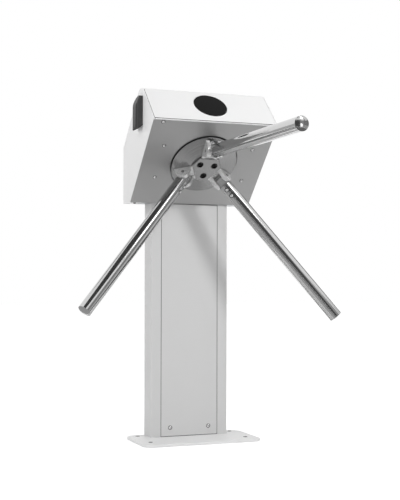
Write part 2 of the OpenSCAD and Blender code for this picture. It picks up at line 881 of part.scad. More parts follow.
// Cap screws at the bottom of the hub's sockets
module hub_bolts() {
    seat = disc_top + core_bolt_h/4;
    color("black") at_hub() socket_places() {
        translate([0, 0, -shaft_flange_back])
            cylinder(seat + shaft_flange_back, r = core_bolt_r/2, $fn = small);
        translate([0, 0, seat]) difference() {
            cylinder(core_bolt_h, r = core_bolt_r, $fn = mid);
            translate([0, 0, core_bolt_h/4]) cylinder(core_bolt_h, r = core_bolt_r/2, $fn = 6);
        }
    }
}

module hinge_pins() {
    len = ear_gap + 2*ear_t;
    color("silver") at_hub() for (t = arm_turns) rotate([0, 0, t + rest_turn])
        translate([pin_out, 0, pin_up]) rotate([90, 0, 0]) cylinder(len, d = pin_d, center = true, $fn = mid);
}

module drive_gear() {
    color("silver") at_hub() difference() {
        translate([0, 0, -gear_in - gear_w]) rotate([0, 0, -90])
            linear_extrude(gear_w) polygon(gear_points(gear_teeth));
        cylinder(4*gear_in, r = shaft_d/2 + snug, center = true, $fn = fine);
    }
}

module damper_pinion() {
    color("goldenrod") at_hub() translate([0, -gear_centres, 0]) {
        translate([0, 0, -gear_in - gear_w]) rotate([0, 0, 90 + 180/pinion_teeth])
            linear_extrude(gear_w) polygon(gear_points(pinion_teeth));
        translate([0, 0, -gear_in - gear_w]) cylinder(gear_w + damper_back, r = damper_shaft_r, $fn = mid);
        translate([0, 0, -gear_in]) cylinder(gear_in/2, r = damper_shaft_r, $fn = mid);
    }
}

// Rotary damper that the pinion's shaft turns in
module damper_body() {
    start = mech_in + mech_t;
    end = gear_in - damper_back;
    color("dimgray") at_hub() translate([0, -gear_centres, -end]) difference() {
        cylinder(end - start, r = damper_r, $fn = fine);
        translate([0, 0, -over]) cylinder(end - gear_in/2 + 2*over, r = damper_shaft_r + run_fit, $fn = mid);
    }
}

module sensor_disc() {
    color("dimgray") at_hub() difference() {
        ring(sensor_r, sensor_r - shaft_d/2 - snug, sensor_in, sensor_in + sensor_t);
        for (i = [0:sensor_slots - 1]) rotate([0, 0, i*360/sensor_slots])
            translate([sensor_r - sensor_slot_h, 0, -sensor_in])
                cube([sensor_slot_h, sensor_slot_w, 4*sensor_t], center = true);
    }
}

// Forked light sensor round the edge of the sensor disc, on a stalk from the mechanism plate
module position_sensor() {
    low = sensor_r - fork_reach;
    high = sensor_r + fork_reach;
    front = sensor_in - fork_gap - fork_wall;
    back = sensor_in + sensor_t + fork_gap + fork_wall;
    color("black") at_hub() difference() {
        union() {
            translate([-fork_w/2, low, -back]) cube([fork_w, high - low, back - front]);
            translate([-fork_w/2, high - fork_wall, -back])
                cube([fork_w, fork_wall, back - mech_in - mech_t]);
        }
        translate([-fork_w, low - over, -back + fork_wall])
            cube([2*fork_w, fork_reach*2 - fork_wall, back - front - 2*fork_wall]);
    }
}

module locking_disc() {
    color("silver") at_hub() difference() {
        ring(lock_r, lock_r - shaft_d/2 - snug, lock_in, lock_in + lock_t);
        for (i = [0:notches - 1]) rotate([0, 0, i*360/notches])
            translate([lock_r, 0, -lock_in - lock_t/2])
                cube([2*notch_deep, notch_w, 2*lock_t], center = true);
    }
}

module shaft_nut() {
    color("silver") at_hub() translate([0, 0, -lock_in - lock_t - nut_h]) difference() {
        cylinder(nut_h, r = nut_r, $fn = 6);
        translate([0, 0, -over]) cylinder(nut_h + 2*over, r = shaft_d/2 + snug, $fn = fine);
    }
}

// The two posts that the pawls turn on, from the mechanism plate
module pawl_posts() {
    color("silver") at_hub() for (x = [-1, 1]) translate([x*post_x, post_up, -lock_in - lock_t])
        cylinder(lock_in + lock_t - mech_in, r = post_r, $fn = mid);
}

// Return springs wound round the posts, drawn as plain sleeves
module pawl_springs() {
    end = lock_in + (lock_t - pawl_t)/2 - clear;
    color("gray") at_hub() for (x = [-1, 1]) translate([x*post_x, post_up, 0])
        ring(post_r + clear/2 + spring_wall, spring_wall, end - spring_h, end);
}

// Lever with its nose beside the locking disc and a link pin at its upper end
module pawl() {
    low = post_up - nose_low;
    tip = lock_r + nose_gap;
    color("gray") at_hub() translate([0, 0, -lock_in - lock_t/2]) difference() {
        union() {
            linear_extrude(pawl_t, center = true) {
                translate([post_x, post_up]) circle(pawl_boss_r, $fn = mid);
                translate([post_x - pawl_half, low]) square([2*pawl_half, nose_low + link_up]);
                translate([tip, low]) square([post_x - tip, nose_low - nose_high]);
                translate([post_x, post_up + link_up]) circle(pawl_half, $fn = mid);
            }
            translate([post_x, post_up + link_up, 0])
                cylinder(fork_block_t - over, r = link_r, center = true, $fn = mid);
        }
        translate([post_x, post_up, 0]) cylinder(2*pawl_t, r = post_r + run_fit, center = true, $fn = mid);
    }
}

module pawl_right() {
    pawl();
}

module pawl_left() {
    mirror([1, 0, 0]) pawl();
}

// Solenoid plunger with a slotted fork round the pawl's link pin
module plunger() {
    y = post_up + link_up;
    slot = 2*link_r + 2*clear;
    color("silver") at_hub() translate([post_x, y, -lock_in - lock_t/2]) difference() {
        union() {
            translate([-fork_block_back, -fork_block_h/2, -fork_block_t/2])
                cube([fork_block_back + fork_block_front, fork_block_h, fork_block_t]);
            translate([fork_block_front - over, 0, 0]) rotate([0, 90, 0])
                cylinder(plunger_reach - fork_block_front + over, r = plunger_r, $fn = mid);
        }
        translate([-fork_block_back - over, -fork_block_h/2 - over, -pawl_t/2 - clear])
            cube([fork_block_back + pawl_half + 2*over + clear, fork_block_h + 2*over, pawl_t + 2*clear]);
        translate([-slot/2, -slot/2 - link_slack, -fork_block_t])
            cube([slot, slot + link_slack, 2*fork_block_t]);
    }
}

module plunger_right() {
    plunger();
}

module plunger_left() {
    mirror([1, 0, 0]) plunger();
}

module solenoid() {
    y = post_up + link_up;
    x0 = post_x + coil_gap;
    color("goldenrod") at_hub() translate([0, y, -lock_in - lock_t/2]) difference() {
        translate([x0, -coil_h/2, -coil_h/2]) cube([gusset_x - x0, coil_h, coil_h]);
        translate([x0 - over, 0, 0]) rotate([0, 90, 0])
            cylinder(coil_bore_end - coil_gap + over, r = plunger_r + run_fit, $fn = mid);
    }
}

module solenoid_right() {
    solenoid();
}

module solenoid_left() {
    mirror([1, 0, 0]) solenoid();
}

// Arm frame: origin on the hinge pin, +Z along the arm, +Y along the pin
module at_arm(k) {
    at_hub() rotate([0, 0, arm_turns[k] + rest_turn]) translate([pin_out, 0, pin_up])
        rotate([0, arm_cone, 0]) children();
}

module arm_screw_places() {
    for (z = [arm_screw_1, arm_screw_2]) translate([-tube_d/2, 0, z]) rotate([0, -90, 0]) children();
}

module arm_tube() {
    color("silver") difference() {
        translate([0, 0, tube_start]) cylinder(arm_len - cap_rise - tube_start, d = tube_d, $fn = fine);
        translate([0, 0, tube_start - over]) cylinder(arm_len, r = tube_d/2 - tube_t, $fn = fine);
        arm_screw_places() cylinder(4*tube_t, r = arm_screw_shank + snug, center = true, $fn = small);
    }
}

// Tongue with its eye on the pin and its plug in the tube
module arm_tongue() {
    color("darkgray") difference() {
        union() {
            rotate([90, 0, 0]) cylinder(tongue_w, r = tongue_r, center = true, $fn = fine);
            translate([-neck_h/2, -tongue_w/2, 0]) cube([neck_h, tongue_w, tube_start + over]);
            translate([0, 0, tube_start]) cylinder(plug_len, r = tube_d/2 - tube_t - plug_fit, $fn = fine);
        }
        rotate([90, 0, 0]) cylinder(2*tongue_w, r = pin_d/2 + run_fit, center = true, $fn = mid);
        arm_screw_places() cylinder(2*arm_screw_len, r = arm_screw_shank + snug, center = true, $fn = small);
    }
}

// Plug and low dome that close the tube's far end
module arm_cap() {
    r = tube_d/2;
    big = (r*r + cap_rise*cap_rise)/(2*cap_rise);
    color("silver") {
        translate([0, 0, arm_len - cap_rise - cap_plug])
            cylinder(cap_plug, r = r - tube_t - plug_fit, $fn = fine);
        intersection() {
            translate([0, 0, arm_len - big]) sphere(big, $fn = fine);
            translate([0, 0, arm_len - cap_rise]) cylinder(cap_rise, r = r, $fn = fine);
        }
    }
}

module arm_screws() {
    color("silver") arm_screw_places() {
        dome_head(arm_screw_d/2);
        translate([0, 0, -arm_screw_len]) cylinder(arm_screw_len, r = arm_screw_shank, $fn = small);
    }
}

module arm_tube_top() { at_arm(0) arm_tube(); }
module arm_tongue_top() { at_arm(0) arm_tongue(); }
module arm_cap_top() { at_arm(0) arm_cap(); }
module arm_screws_top() { at_arm(0) arm_screws(); }
module arm_tube_left() { at_arm(1) arm_tube(); }
module arm_tongue_left() { at_arm(1) arm_tongue(); }
module arm_cap_left() { at_arm(1) arm_cap(); }
module arm_screws_left() { at_arm(1) arm_screws(); }
module arm_tube_right() { at_arm(2) arm_tube(); }
module arm_tongue_right() { at_arm(2) arm_tongue(); }
module arm_cap_right() { at_arm(2) arm_cap(); }
module arm_screws_right() { at_arm(2) arm_screws(); }

base_plate();
column_shell();
column_panel();
panel_screws();
cable_grommet();
head_floor();
floor_bolts();
hood();
hood_screws();
gusset_left();
gusset_right();
chassis_back();
hub_plate();
plate_screws();
reader_window();
reader_cup();
signal_left();
signal_right();
signal_lens_left();
signal_lens_right();
mechanism_plate();
bearing_housing();
housing_bolts();
outer_races();
bearing_balls();
damper_body();
position_sensor();
pawl_posts();
pawl_springs();
solenoid_left();
solenoid_right();
control_board();
power_supply();
inner_races();
hub_shaft();
hub_disc();
hub_core();
hub_bolts();
hinge_pins();
drive_gear();
sensor_disc();
locking_disc();
shaft_nut();
damper_pinion();
pawl_left();
pawl_right();
plunger_left();
plunger_right();
arm_tube_top();
arm_tongue_top();
arm_cap_top();
arm_screws_top();
arm_tube_left();
arm_tongue_left();
arm_cap_left();
arm_screws_left();
arm_tube_right();
arm_tongue_right();
arm_cap_right();
arm_screws_right();
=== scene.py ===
"""Looks of a tripod turnstile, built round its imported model.

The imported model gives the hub's and the arms' places; the visible pieces are modelled again here with
the rounded edges, recesses and finishes of the real ones, and ride on the model's bodies.
"""

import json
import logging
import math
from dataclasses import dataclass, field
from enum import Enum
from typing import Any, Callable, Iterable, Optional, Sequence

import bmesh
import bpy
from mathutils import Matrix, Vector

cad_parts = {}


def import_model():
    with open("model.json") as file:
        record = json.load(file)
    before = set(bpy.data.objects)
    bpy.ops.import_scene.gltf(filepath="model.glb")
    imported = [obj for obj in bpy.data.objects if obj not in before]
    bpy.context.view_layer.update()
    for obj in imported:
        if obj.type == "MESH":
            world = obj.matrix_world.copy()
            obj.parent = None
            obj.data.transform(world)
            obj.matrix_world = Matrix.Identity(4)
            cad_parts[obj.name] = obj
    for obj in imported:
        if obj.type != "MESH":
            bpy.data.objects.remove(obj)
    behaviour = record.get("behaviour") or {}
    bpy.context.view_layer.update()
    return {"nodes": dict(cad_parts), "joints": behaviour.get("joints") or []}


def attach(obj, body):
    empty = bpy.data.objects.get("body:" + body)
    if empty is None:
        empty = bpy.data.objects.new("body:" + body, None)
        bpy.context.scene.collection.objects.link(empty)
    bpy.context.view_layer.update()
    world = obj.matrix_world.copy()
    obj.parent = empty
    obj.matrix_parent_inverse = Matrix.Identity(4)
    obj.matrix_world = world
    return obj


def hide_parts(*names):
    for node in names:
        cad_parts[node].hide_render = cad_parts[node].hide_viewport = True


LOG = logging.getLogger("turnstile")
MM = 0.001

Point = tuple[float, float]
Corner = tuple[float, float, float]
Loop = list[Point]
Outline = Callable[[float], Loop]


class Cut(Enum):
    """What a second mesh does to the first."""

    AWAY = "DIFFERENCE"
    JOINED = "UNION"


class Grain(Enum):
    """Which way a finish was rubbed, in the piece's own axes."""

    ALONG_X = (1, 0, 0)
    ROUND_Z = (0, 0, 0)


# Outlines: each is a function that gives its points, anticlockwise, moved inward by a distance


def rounded(corners: Sequence[Corner], steps: int = 6) -> Loop:
    """Rounds the corners of a closed outline.

    Args:
        corners: x, y and radius of each corner, anticlockwise; a radius of 0 leaves the corner sharp.
        steps: faces on each arc.

    Returns:
        The outline's points, anticlockwise.
    """
    loop: Loop = []
    count = len(corners)
    for i, (x, y, r) in enumerate(corners):
        here = Vector((x, y))
        before = (Vector(corners[i - 1][:2]) - here).normalized()
        after = (Vector(corners[(i + 1) % count][:2]) - here).normalized()
        half = before.angle(after) / 2
        if r <= 0:
            loop.append((x, y))
            continue
        middle = here + (before + after).normalized() * (r / math.sin(half))
        first = here + before * (r / math.tan(half)) - middle
        last = here + after * (r / math.tan(half)) - middle
        turn = math.atan2(first.x * last.y - first.y * last.x, first.dot(last))
        for k in range(steps + 1):
            a = turn * k / steps
            c, s = math.cos(a), math.sin(a)
            loop.append((middle.x + c * first.x - s * first.y, middle.y + s * first.x + c * first.y))
    return loop


def cornered(corners: Sequence[Corner], steps: int = 6) -> Outline:
    """An outline with round corners.

    Args:
        corners: x, y and radius of each corner, anticlockwise.
        steps: faces on each arc.

    Returns:
        The outline.
    """

    def outline(by: float) -> Loop:
        """The corners with each side moved inward and the arcs shrunk to suit."""
        moved = []
        count = len(corners)
        for i, (x, y, r) in enumerate(corners):
            here = Vector((x, y))
            a = (here - Vector(corners[i - 1][:2])).normalized()
            b = (Vector(corners[(i + 1) % count][:2]) - here).normalized()
            normal = Vector((-a.y - b.y, a.x + b.x)).normalized()
            spot = here + normal * (by / normal.dot(Vector((-a.y, a.x))))
            inner = cross_of(a, b) > 0
            moved.append((spot.x, spot.y, max(0.05, r - by if inner else r + by) if r > 0 else 0.0))
        return rounded(moved, steps)

    return outline


def cross_of(a: Vector, b: Vector) -> float:
    """Which way two directions turn: positive to the left."""
    return a.x * b.y - a.y * b.x


def box_outline(w: float, h: float, r: float, middle: Point = (0.0, 0.0), steps: int = 6) -> Outline:
    """A rectangle with round corners about a middle point."""
    x, y = middle
    sides = ((-1, -1), (1, -1), (1, 1), (-1, 1))
    return cornered([(x + i * w / 2, y + j * h / 2, r) for i, j in sides], steps)


def circle_outline(r: float, middle: Point = (0.0, 0.0), count: int = 48) -> Outline:
    """A circle or, with a low count, a regular polygon."""
    x, y = middle
    turns = [2 * math.pi * k / count for k in range(count)]
    return lambda by: [(x + (r - by) * math.cos(t), y + (r - by) * math.sin(t)) for t in turns]


def free_outline(loop: Loop) -> Outline:
    """An outline through given points, for shapes whose curves are wider than any inset."""
    least = 0.35

    def outline(by: float) -> Loop:
        """Each point moved inward along the mean of its two sides' normals, at a sharp corner less far."""
        moved: Loop = []
        count = len(loop)
        for i, point in enumerate(loop):
            here = Vector(point)
            a = (here - Vector(loop[i - 1])).normalized()
            b = (Vector(loop[(i + 1) % count]) - here).normalized()
            normal = Vector((-a.y - b.y, a.x + b.x)).normalized()
            moved.append(tuple(here + normal * (by / max(least, normal.dot(Vector((-a.y, a.x)))))))
        return moved

    return outline


# Meshes in millimetres


def slab(outline: Outline, low: float, high: float, edge: float = 0.4, low_edge: Optional[float] = None,
         steps: int = 3) -> bmesh.types.BMesh:
    """A prism along Z with rounded rims.

    Args:
        outline: its outline.
        low: height of its lower face.
        high: height of its upper face.
        edge: rounding of the upper rim.
        low_edge: rounding of the lower rim, the same as the upper where left out.
        steps: faces across each rounding.

    Returns:
        The closed mesh.
    """
    low_edge = edge if low_edge is None else low_edge
    low_turns = [math.pi / 2 * k / steps for k in range(steps + 1)] if low_edge > 0 else [math.pi / 2]
    high_turns = [math.pi / 2 * k / steps for k in range(steps + 1)] if edge > 0 else [0.0]
    levels = [(low_edge * (1 - math.sin(a)), low + low_edge * (1 - math.cos(a))) for a in low_turns]
    levels += [(edge * (1 - math.cos(a)), high - edge * (1 - math.sin(a))) for a in high_turns]
    mesh = bmesh.new()
    rings = [[mesh.verts.new((x, y, z)) for x, y in outline(by)] for by, z in levels]
    for lower, upper in zip(rings, rings[1:]):
        for i in range(len(lower)):
            mesh.faces.new((lower[i - 1], lower[i], upper[i], upper[i - 1]))
    mesh.faces.new(list(reversed(rings[0])))
    mesh.faces.new(rings[-1])
    return mesh


def lathe(profile: Loop, count: int = 96) -> bmesh.types.BMesh:
    """Turns a profile about Z.

    Args:
        profile: radius and height, closed by its first point unless both ends lie on the axis.
        count: faces round the axis.

    Returns:
        The closed mesh.
    """
    mesh = bmesh.new()
    on_axis = [r < 1e-6 for r, _ in profile]
    rings: list[list[bmesh.types.BMVert]] = []
    for (r, z), alone in zip(profile, on_axis):
        turns = [0.0] if alone else [2 * math.pi * k / count for k in range(count)]
        rings.append([mesh.verts.new((r * math.cos(t), r * math.sin(t), z)) for t in turns])
    pairs = list(zip(rings, rings[1:]))
    if not (on_axis[0] and on_axis[-1]):
        pairs.append((rings[-1], rings[0]))
    for a, b in pairs:
        for k in range(count):
            j = (k + 1) % count
            face = [a[k % len(a)], a[j % len(a)], b[j % len(b)], b[k % len(b)]]
            unique = [v for i, v in enumerate(face) if v not in face[:i]]
            if len(unique) > 2:
                mesh.faces.new(unique)
    bmesh.ops.recalc_face_normals(mesh, faces=mesh.faces)
    return mesh


def bore(r: float, half: float, pocket: float = 2.0) -> bmesh.types.BMesh:
    """A round bore through a piece of half thickness half, about Z."""
    return lathe([(0, -half - pocket), (r, -half - pocket), (r, half + pocket), (0, half + pocket)], 48)


def linked(name: str, data: Any) -> bpy.types.Object:
    """A new object in the scene, for a mesh, a lamp or a camera."""
    one = bpy.data.objects.new(name, data)
    bpy.context.scene.collection.objects.link(one)
    return one


def as_object(name: str, mesh: bmesh.types.BMesh) -> bpy.types.Object:
    """A new object in the scene from a mesh, which is freed."""
    data = bpy.data.meshes.new(name)
    mesh.to_mesh(data)
    mesh.free()
    return linked(name, data)


def joined(meshes: Iterable[bmesh.types.BMesh]) -> bmesh.types.BMesh:
    """Puts separate closed meshes in one, and frees them."""
    whole = bmesh.new()
    for part in meshes:
        data = bpy.data.meshes.new("part")
        part.to_mesh(data)
        part.free()
        whole.from_mesh(data)
        bpy.data.meshes.remove(data)
    return whole


def placed(mesh: bmesh.types.BMesh, *places: Matrix) -> bmesh.types.BMesh:
    """Copies of a mesh at each place, in one mesh."""
    copies = []
    for place in places:
        copy = mesh.copy()
        bmesh.ops.transform(copy, matrix=place, verts=copy.verts)
        if place.determinant() < 0:
            bmesh.ops.reverse_faces(copy, faces=copy.faces)
        copies.append(copy)
    mesh.free()
    return joined(copies)


def at(x: float = 0.0, y: float = 0.0, z: float = 0.0) -> Matrix:
    """A place without a turn."""
    return Matrix.Translation((x, y, z))


def turned(degrees: float, axis: str) -> Matrix:
    """A turn about an axis through the origin."""
    return Matrix.Rotation(math.radians(degrees), 4, axis)


def carve(mesh: bmesh.types.BMesh, tool: bmesh.types.BMesh, cut: Cut = Cut.AWAY) -> bmesh.types.BMesh:
    """Combines two closed meshes.

    Args:
        mesh: the mesh that is cut or added to; it is freed.
        tool: the mesh that cuts or adds; it is freed.
        cut: what the tool does.

    Returns:
        The new mesh.
    """
    objects = [as_object("part", part) for part in (mesh, tool)]
    modifier = objects[0].modifiers.new("cut", "BOOLEAN")
    modifier.object, modifier.operation, modifier.solver = objects[1], cut.value, "EXACT"
    graph = bpy.context.evaluated_depsgraph_get()
    result = bmesh.new()
    result.from_mesh(objects[0].evaluated_get(graph).data)
    for one in objects:
        data = one.data
        bpy.data.objects.remove(one)
        bpy.data.meshes.remove(data)
    return result


def dome(r: float, h: float, steps: int = 6) -> Loop:
    """Profile of a dome of radius r and height h, from the axis outward, with its foot closed on the axis."""
    big = (r * r + h * h) / (2 * h)
    reach = math.asin(r / big)
    turns = [reach * k / steps for k in range(1, steps + 1)]
    arc = [(big * math.sin(t), h - big * (1 - math.cos(t))) for t in turns]
    return [(0.0, h)] + arc + [(0.0, 0.0)]


def screw_head(r: float, h: float, drive: float) -> bmesh.types.BMesh:
    """A domed screw head with a six-sided recess, standing on z = 0.

    Args:
        r: radius of the head.
        h: height of the head.
        drive: radius of the recess.

    Returns:
        The closed mesh.
    """
    floor_share = 0.35
    head = lathe(dome(r, h), 32)
    return carve(head, slab(circle_outline(drive, count=6), h * floor_share, h * 2, 0.0))


def shade_washer(r: float, h: float, low: float = 0.0) -> bmesh.types.BMesh:
    """A washer with rounded rims under a screw's head, whose rim past the head is a ring of painted shade."""
    return lathe(rounded([(0, low, 0), (r, low, 0.1), (r, h, 0.15), (0, h, 0)], 3), 40)


# Finishes


def linear(colour: str) -> tuple[float, float, float, float]:
    """Turns an sRGB hex colour to linear values with full alpha."""
    parts = [int(colour[i:i + 2], 16) / 255 for i in (1, 3, 5)]
    values = [c / 12.92 if c <= 0.04045 else ((c + 0.055) / 1.055) ** 2.4 for c in parts]
    return (values[0], values[1], values[2], 1.0)


def per_metre(size_mm: float) -> float:
    """How many times a pattern of a real size in millimetres repeats in a metre, for a noise's scale."""
    return 1 / (size_mm * MM)


def emptied(block: Any) -> bpy.types.NodeTree:
    """The node tree of a new material or world, with nothing in it."""
    block.use_nodes = True
    block.node_tree.nodes.clear()
    return block.node_tree


def add_node(tree: bpy.types.NodeTree, kind: str, settings: Optional[dict[Any, Any]] = None,
             links: Optional[dict[Any, bpy.types.NodeSocket]] = None) -> bpy.types.Node:
    """Adds a node with its settings and links.

    Args:
        tree: the node tree.
        kind: the node's type name.
        settings: values of its inputs or of its own attributes.
        links: what feeds each input.

    Returns:
        The node.
    """
    node = tree.nodes.new(kind)
    for key, value in (settings or {}).items():
        if isinstance(key, int) or key in node.inputs:
            node.inputs[key].default_value = value
        else:
            setattr(node, key, value)
    for key, socket in (links or {}).items():
        tree.links.new(socket, node.inputs[key])
    return node


@dataclass(frozen=True)
class Finish:
    """What every finish shares: its name, colour and gloss."""

    name: str
    colour: str
    roughness: float
    metallic: float = 0.0
    specular: float = 0.5

    def build(self) -> bpy.types.Material:
        """Makes the material, or returns the one made before."""
        known = bpy.data.materials.get(self.name)
        if known:
            return known
        material = bpy.data.materials.new(self.name)
        material.use_nodes = True
        tree = material.node_tree
        shader = next(n for n in tree.nodes if n.type == "BSDF_PRINCIPLED")
        values = {"Base Color": linear(self.colour), "Roughness": self.roughness, "Metallic": self.metallic,
                  "Specular IOR Level": self.specular}
        for key, value in values.items():
            shader.inputs[key].default_value = value
        place = add_node(tree, "ShaderNodeTexCoord").outputs["Object"]
        self.dress(tree, shader, place)
        return material

    def dress(self, tree: bpy.types.NodeTree, shader: bpy.types.Node, place: bpy.types.NodeSocket) -> None:
        """Adds the surface's own pattern; plain here."""

    def shade(self, tree: bpy.types.NodeTree, shader: bpy.types.Node, amount: bpy.types.NodeSocket,
              spread: float) -> None:
        """Lightens and darkens the base colour by a pattern.

        Args:
            tree: the node tree.
            shader: the shader whose colour varies.
            amount: the pattern, from 0 to 1.
            spread: how far the colour goes to each side of its own value, as a share.
        """
        plain = linear(self.colour)[:3]
        low, high = [(*(min(1.0, c * s) for c in plain), 1.0) for s in (1 - spread, 1 + spread)]
        mix = add_node(tree, "ShaderNodeMix", {"data_type": "RGBA", 6: low, 7: high}, {0: amount})
        tree.links.new(mix.outputs[2], shader.inputs["Base Color"])


@dataclass(frozen=True)
class PowderCoat(Finish):
    """Powder coat on steel: sprayed and baked, it flows to a fine orange peel with an even, soft gloss."""

    peel_mm: float = 1.6
    depth_mm: float = 0.012
    cloud_mm: float = 90.0

    def dress(self, tree: bpy.types.NodeTree, shader: bpy.types.Node, place: bpy.types.NodeSocket) -> None:
        """Adds the orange peel and a faint unevenness of the coat."""
        peel = add_node(tree, "ShaderNodeTexNoise", {"Scale": per_metre(self.peel_mm), "Detail": 2.0},
                        {"Vector": place})
        bump = add_node(tree, "ShaderNodeBump", {"Strength": 0.35, "Distance": self.depth_mm * MM},
                        {"Height": peel.outputs["Fac"]})
        tree.links.new(bump.outputs["Normal"], shader.inputs["Normal"])
        cloud = add_node(tree, "ShaderNodeTexNoise", {"Scale": per_metre(self.cloud_mm), "Detail": 3.0},
                         {"Vector": place})
        self.shade(tree, shader, cloud.outputs["Fac"], 0.015)
        gloss = add_node(tree, "ShaderNodeMapRange",
                         {"To Min": self.roughness - 0.04, "To Max": self.roughness + 0.06},
                         {"Value": cloud.outputs["Fac"]})
        tree.links.new(gloss.outputs["Result"], shader.inputs["Roughness"])


@dataclass(frozen=True)
class RubbedSteel(Finish):
    """Stainless steel rubbed with a belt or in a lathe: fine lines smear a reflection across them."""

    grain: Grain = Grain.ALONG_X
    line_mm: float = 0.7
    run_mm: float = 60.0
    contrast: float = 0.06
    depth_mm: float = 0.006
    smear: float = 0.5

    def dress(self, tree: bpy.types.NodeTree, shader: bpy.types.Node, place: bpy.types.NodeSocket) -> None:
        """Adds the rubbed lines to colour, gloss and relief, drawn coarser than grit so that they show."""
        if self.grain is Grain.ROUND_Z:
            parts = add_node(tree, "ShaderNodeSeparateXYZ", links={0: place})
            flat = add_node(tree, "ShaderNodeCombineXYZ", links={0: parts.outputs[0], 1: parts.outputs[1]})
            reach = add_node(tree, "ShaderNodeVectorMath", {"operation": "LENGTH"}, {0: flat.outputs[0]})
            source = add_node(tree, "ShaderNodeCombineXYZ", links={0: reach.outputs["Value"]}).outputs[0]
            scale = (per_metre(self.line_mm), 0.0, 0.0)
        else:
            source = place
            scale = tuple(per_metre(self.run_mm if along else self.line_mm) for along in self.grain.value)
        stretched = add_node(tree, "ShaderNodeVectorMath", {"operation": "MULTIPLY", 1: scale}, {0: source})
        lines = add_node(tree, "ShaderNodeTexNoise", {"Scale": 1.0, "Detail": 3.0, "Roughness": 0.6},
                         {"Vector": stretched.outputs[0]})
        self.shade(tree, shader, lines.outputs["Fac"], self.contrast)
        gloss = add_node(tree, "ShaderNodeMapRange",
                         {"From Min": 0.3, "From Max": 0.7, "To Min": self.roughness - 0.05,
                          "To Max": self.roughness + 0.07}, {"Value": lines.outputs["Fac"]})
        tree.links.new(gloss.outputs["Result"], shader.inputs["Roughness"])
        bump = add_node(tree, "ShaderNodeBump", {"Strength": 0.3, "Distance": self.depth_mm * MM},
                        {"Height": lines.outputs["Fac"]})
        tree.links.new(bump.outputs["Normal"], shader.inputs["Normal"])
        shader.inputs["Anisotropic"].default_value = self.smear


@dataclass(frozen=True)
class PolishedSteel(Finish):
    """Stainless steel after a buffing wheel: a clear reflection, slightly wavy, under a faint haze."""

    wave_mm: float = 45.0
    depth_mm: float = 0.08
    haze_mm: float = 14.0

    def dress(self, tree: bpy.types.NodeTree, shader: bpy.types.Node, place: bpy.types.NodeSocket) -> None:
        """Adds the waviness of a drawn tube and the haze that the buffing leaves."""
        wave = add_node(tree, "ShaderNodeTexNoise", {"Scale": per_metre(self.wave_mm), "Detail": 1.0},
                        {"Vector": place})
        bump = add_node(tree, "ShaderNodeBump", {"Strength": 0.25, "Distance": self.depth_mm * MM},
                        {"Height": wave.outputs["Fac"]})
        tree.links.new(bump.outputs["Normal"], shader.inputs["Normal"])
        haze = add_node(tree, "ShaderNodeTexNoise", {"Scale": per_metre(self.haze_mm), "Detail": 3.0},
                        {"Vector": place})
        gloss = add_node(tree, "ShaderNodeMapRange",
                         {"From Min": 0.35, "From Max": 0.7, "To Min": self.roughness,
                          "To Max": self.roughness + 0.03}, {"Value": haze.outputs["Fac"]})
        tree.links.new(gloss.outputs["Result"], shader.inputs["Roughness"])
        self.shade(tree, shader, haze.outputs["Fac"], 0.02)


@dataclass(frozen=True)
class Moulded(Finish):
    """Moulded plastic or rubber: the mould's fine spark-eroded grain breaks up its gloss."""

    grain_mm: float = 0.9
    depth_mm: float = 0.02

    def dress(self, tree: bpy.types.NodeTree, shader: bpy.types.Node, place: bpy.types.NodeSocket) -> None:
        """Adds the mould's grain and a slight unevenness of colour."""
        grain = add_node(tree, "ShaderNodeTexNoise", {"Scale": per_metre(self.grain_mm), "Detail": 2.0},
                         {"Vector": place})
        bump = add_node(tree, "ShaderNodeBump", {"Strength": 0.5, "Distance": self.depth_mm * MM},
                        {"Height": grain.outputs["Fac"]})
        tree.links.new(bump.outputs["Normal"], shader.inputs["Normal"])
        self.shade(tree, shader, grain.outputs["Fac"], 0.08)


# Sprayed and baked polyester powder: an even soft gloss, whitest on the hood and greyer on the column
WHITE_PAINT = PowderCoat("white_polyester_powder_coat", "#EEEEEE", 0.32, specular=0.4)
GREY_PAINT = PowderCoat("light_grey_powder_coat", "#D2D2D2", 0.42, specular=0.4)
PALE_PAINT = PowderCoat("pale_grey_powder_coat", "#EAEAEA", 0.42, specular=0.4)

# Belt-brushed stainless sheet: a flat mid grey whose reflections spread into soft bands
BRUSHED_PLATE = RubbedSteel("brushed_stainless_hub_plate", "#BABABA", 0.4, metallic=1.0, contrast=0.05,
                            smear=0.25)

# Stainless faced in a lathe: fine rings that catch the light in a fan
TURNED_DISC = RubbedSteel("turned_stainless_disc", "#A4A4A4", 0.26, metallic=1.0, grain=Grain.ROUND_Z,
                          line_mm=0.8, smear=0.3)

# Cast stainless, linished smooth: dull reflections without sharp edges
SATIN_CASTING = RubbedSteel("satin_stainless_casting", "#A8A8A8", 0.2, metallic=1.0, line_mm=0.5,
                            run_mm=12.0, contrast=0.05, smear=0.3)

# The forks, cast with the core, take a paler copy of its steel, less metallic so that the lamps light it:
# painted light for the bright faces the forks show, since no reflection shows the key lamp
PAINTED_LIGHT_FORK_STEEL = RubbedSteel("paler_fork_stainless_painted_light", "#DEDEDE", 0.25, metallic=0.6, line_mm=0.6, run_mm=15.0,
                         contrast=0.04, smear=0.2)

# Milled stainless: darker than the forks, with clear reflections
MACHINED_TONGUE = RubbedSteel("machined_stainless_tongues", "#BCBCBC", 0.2, metallic=1.0, line_mm=0.6,
                              run_mm=15.0, contrast=0.04, smear=0.2)

# Buffed stainless: mirror bands along the tubes, softer on the spun caps and the turned screw heads
POLISHED_TUBE = PolishedSteel("polished_stainless_tube", "#CFCFCF", 0.07, metallic=1.0)
POLISHED_CAP = PolishedSteel("polished_stainless_cap", "#C4C4C4", 0.13, metallic=1.0, wave_mm=25.0)
FASTENER = PolishedSteel("stainless_fasteners", "#EEEEEE", 0.14, metallic=1.0, wave_mm=20.0)

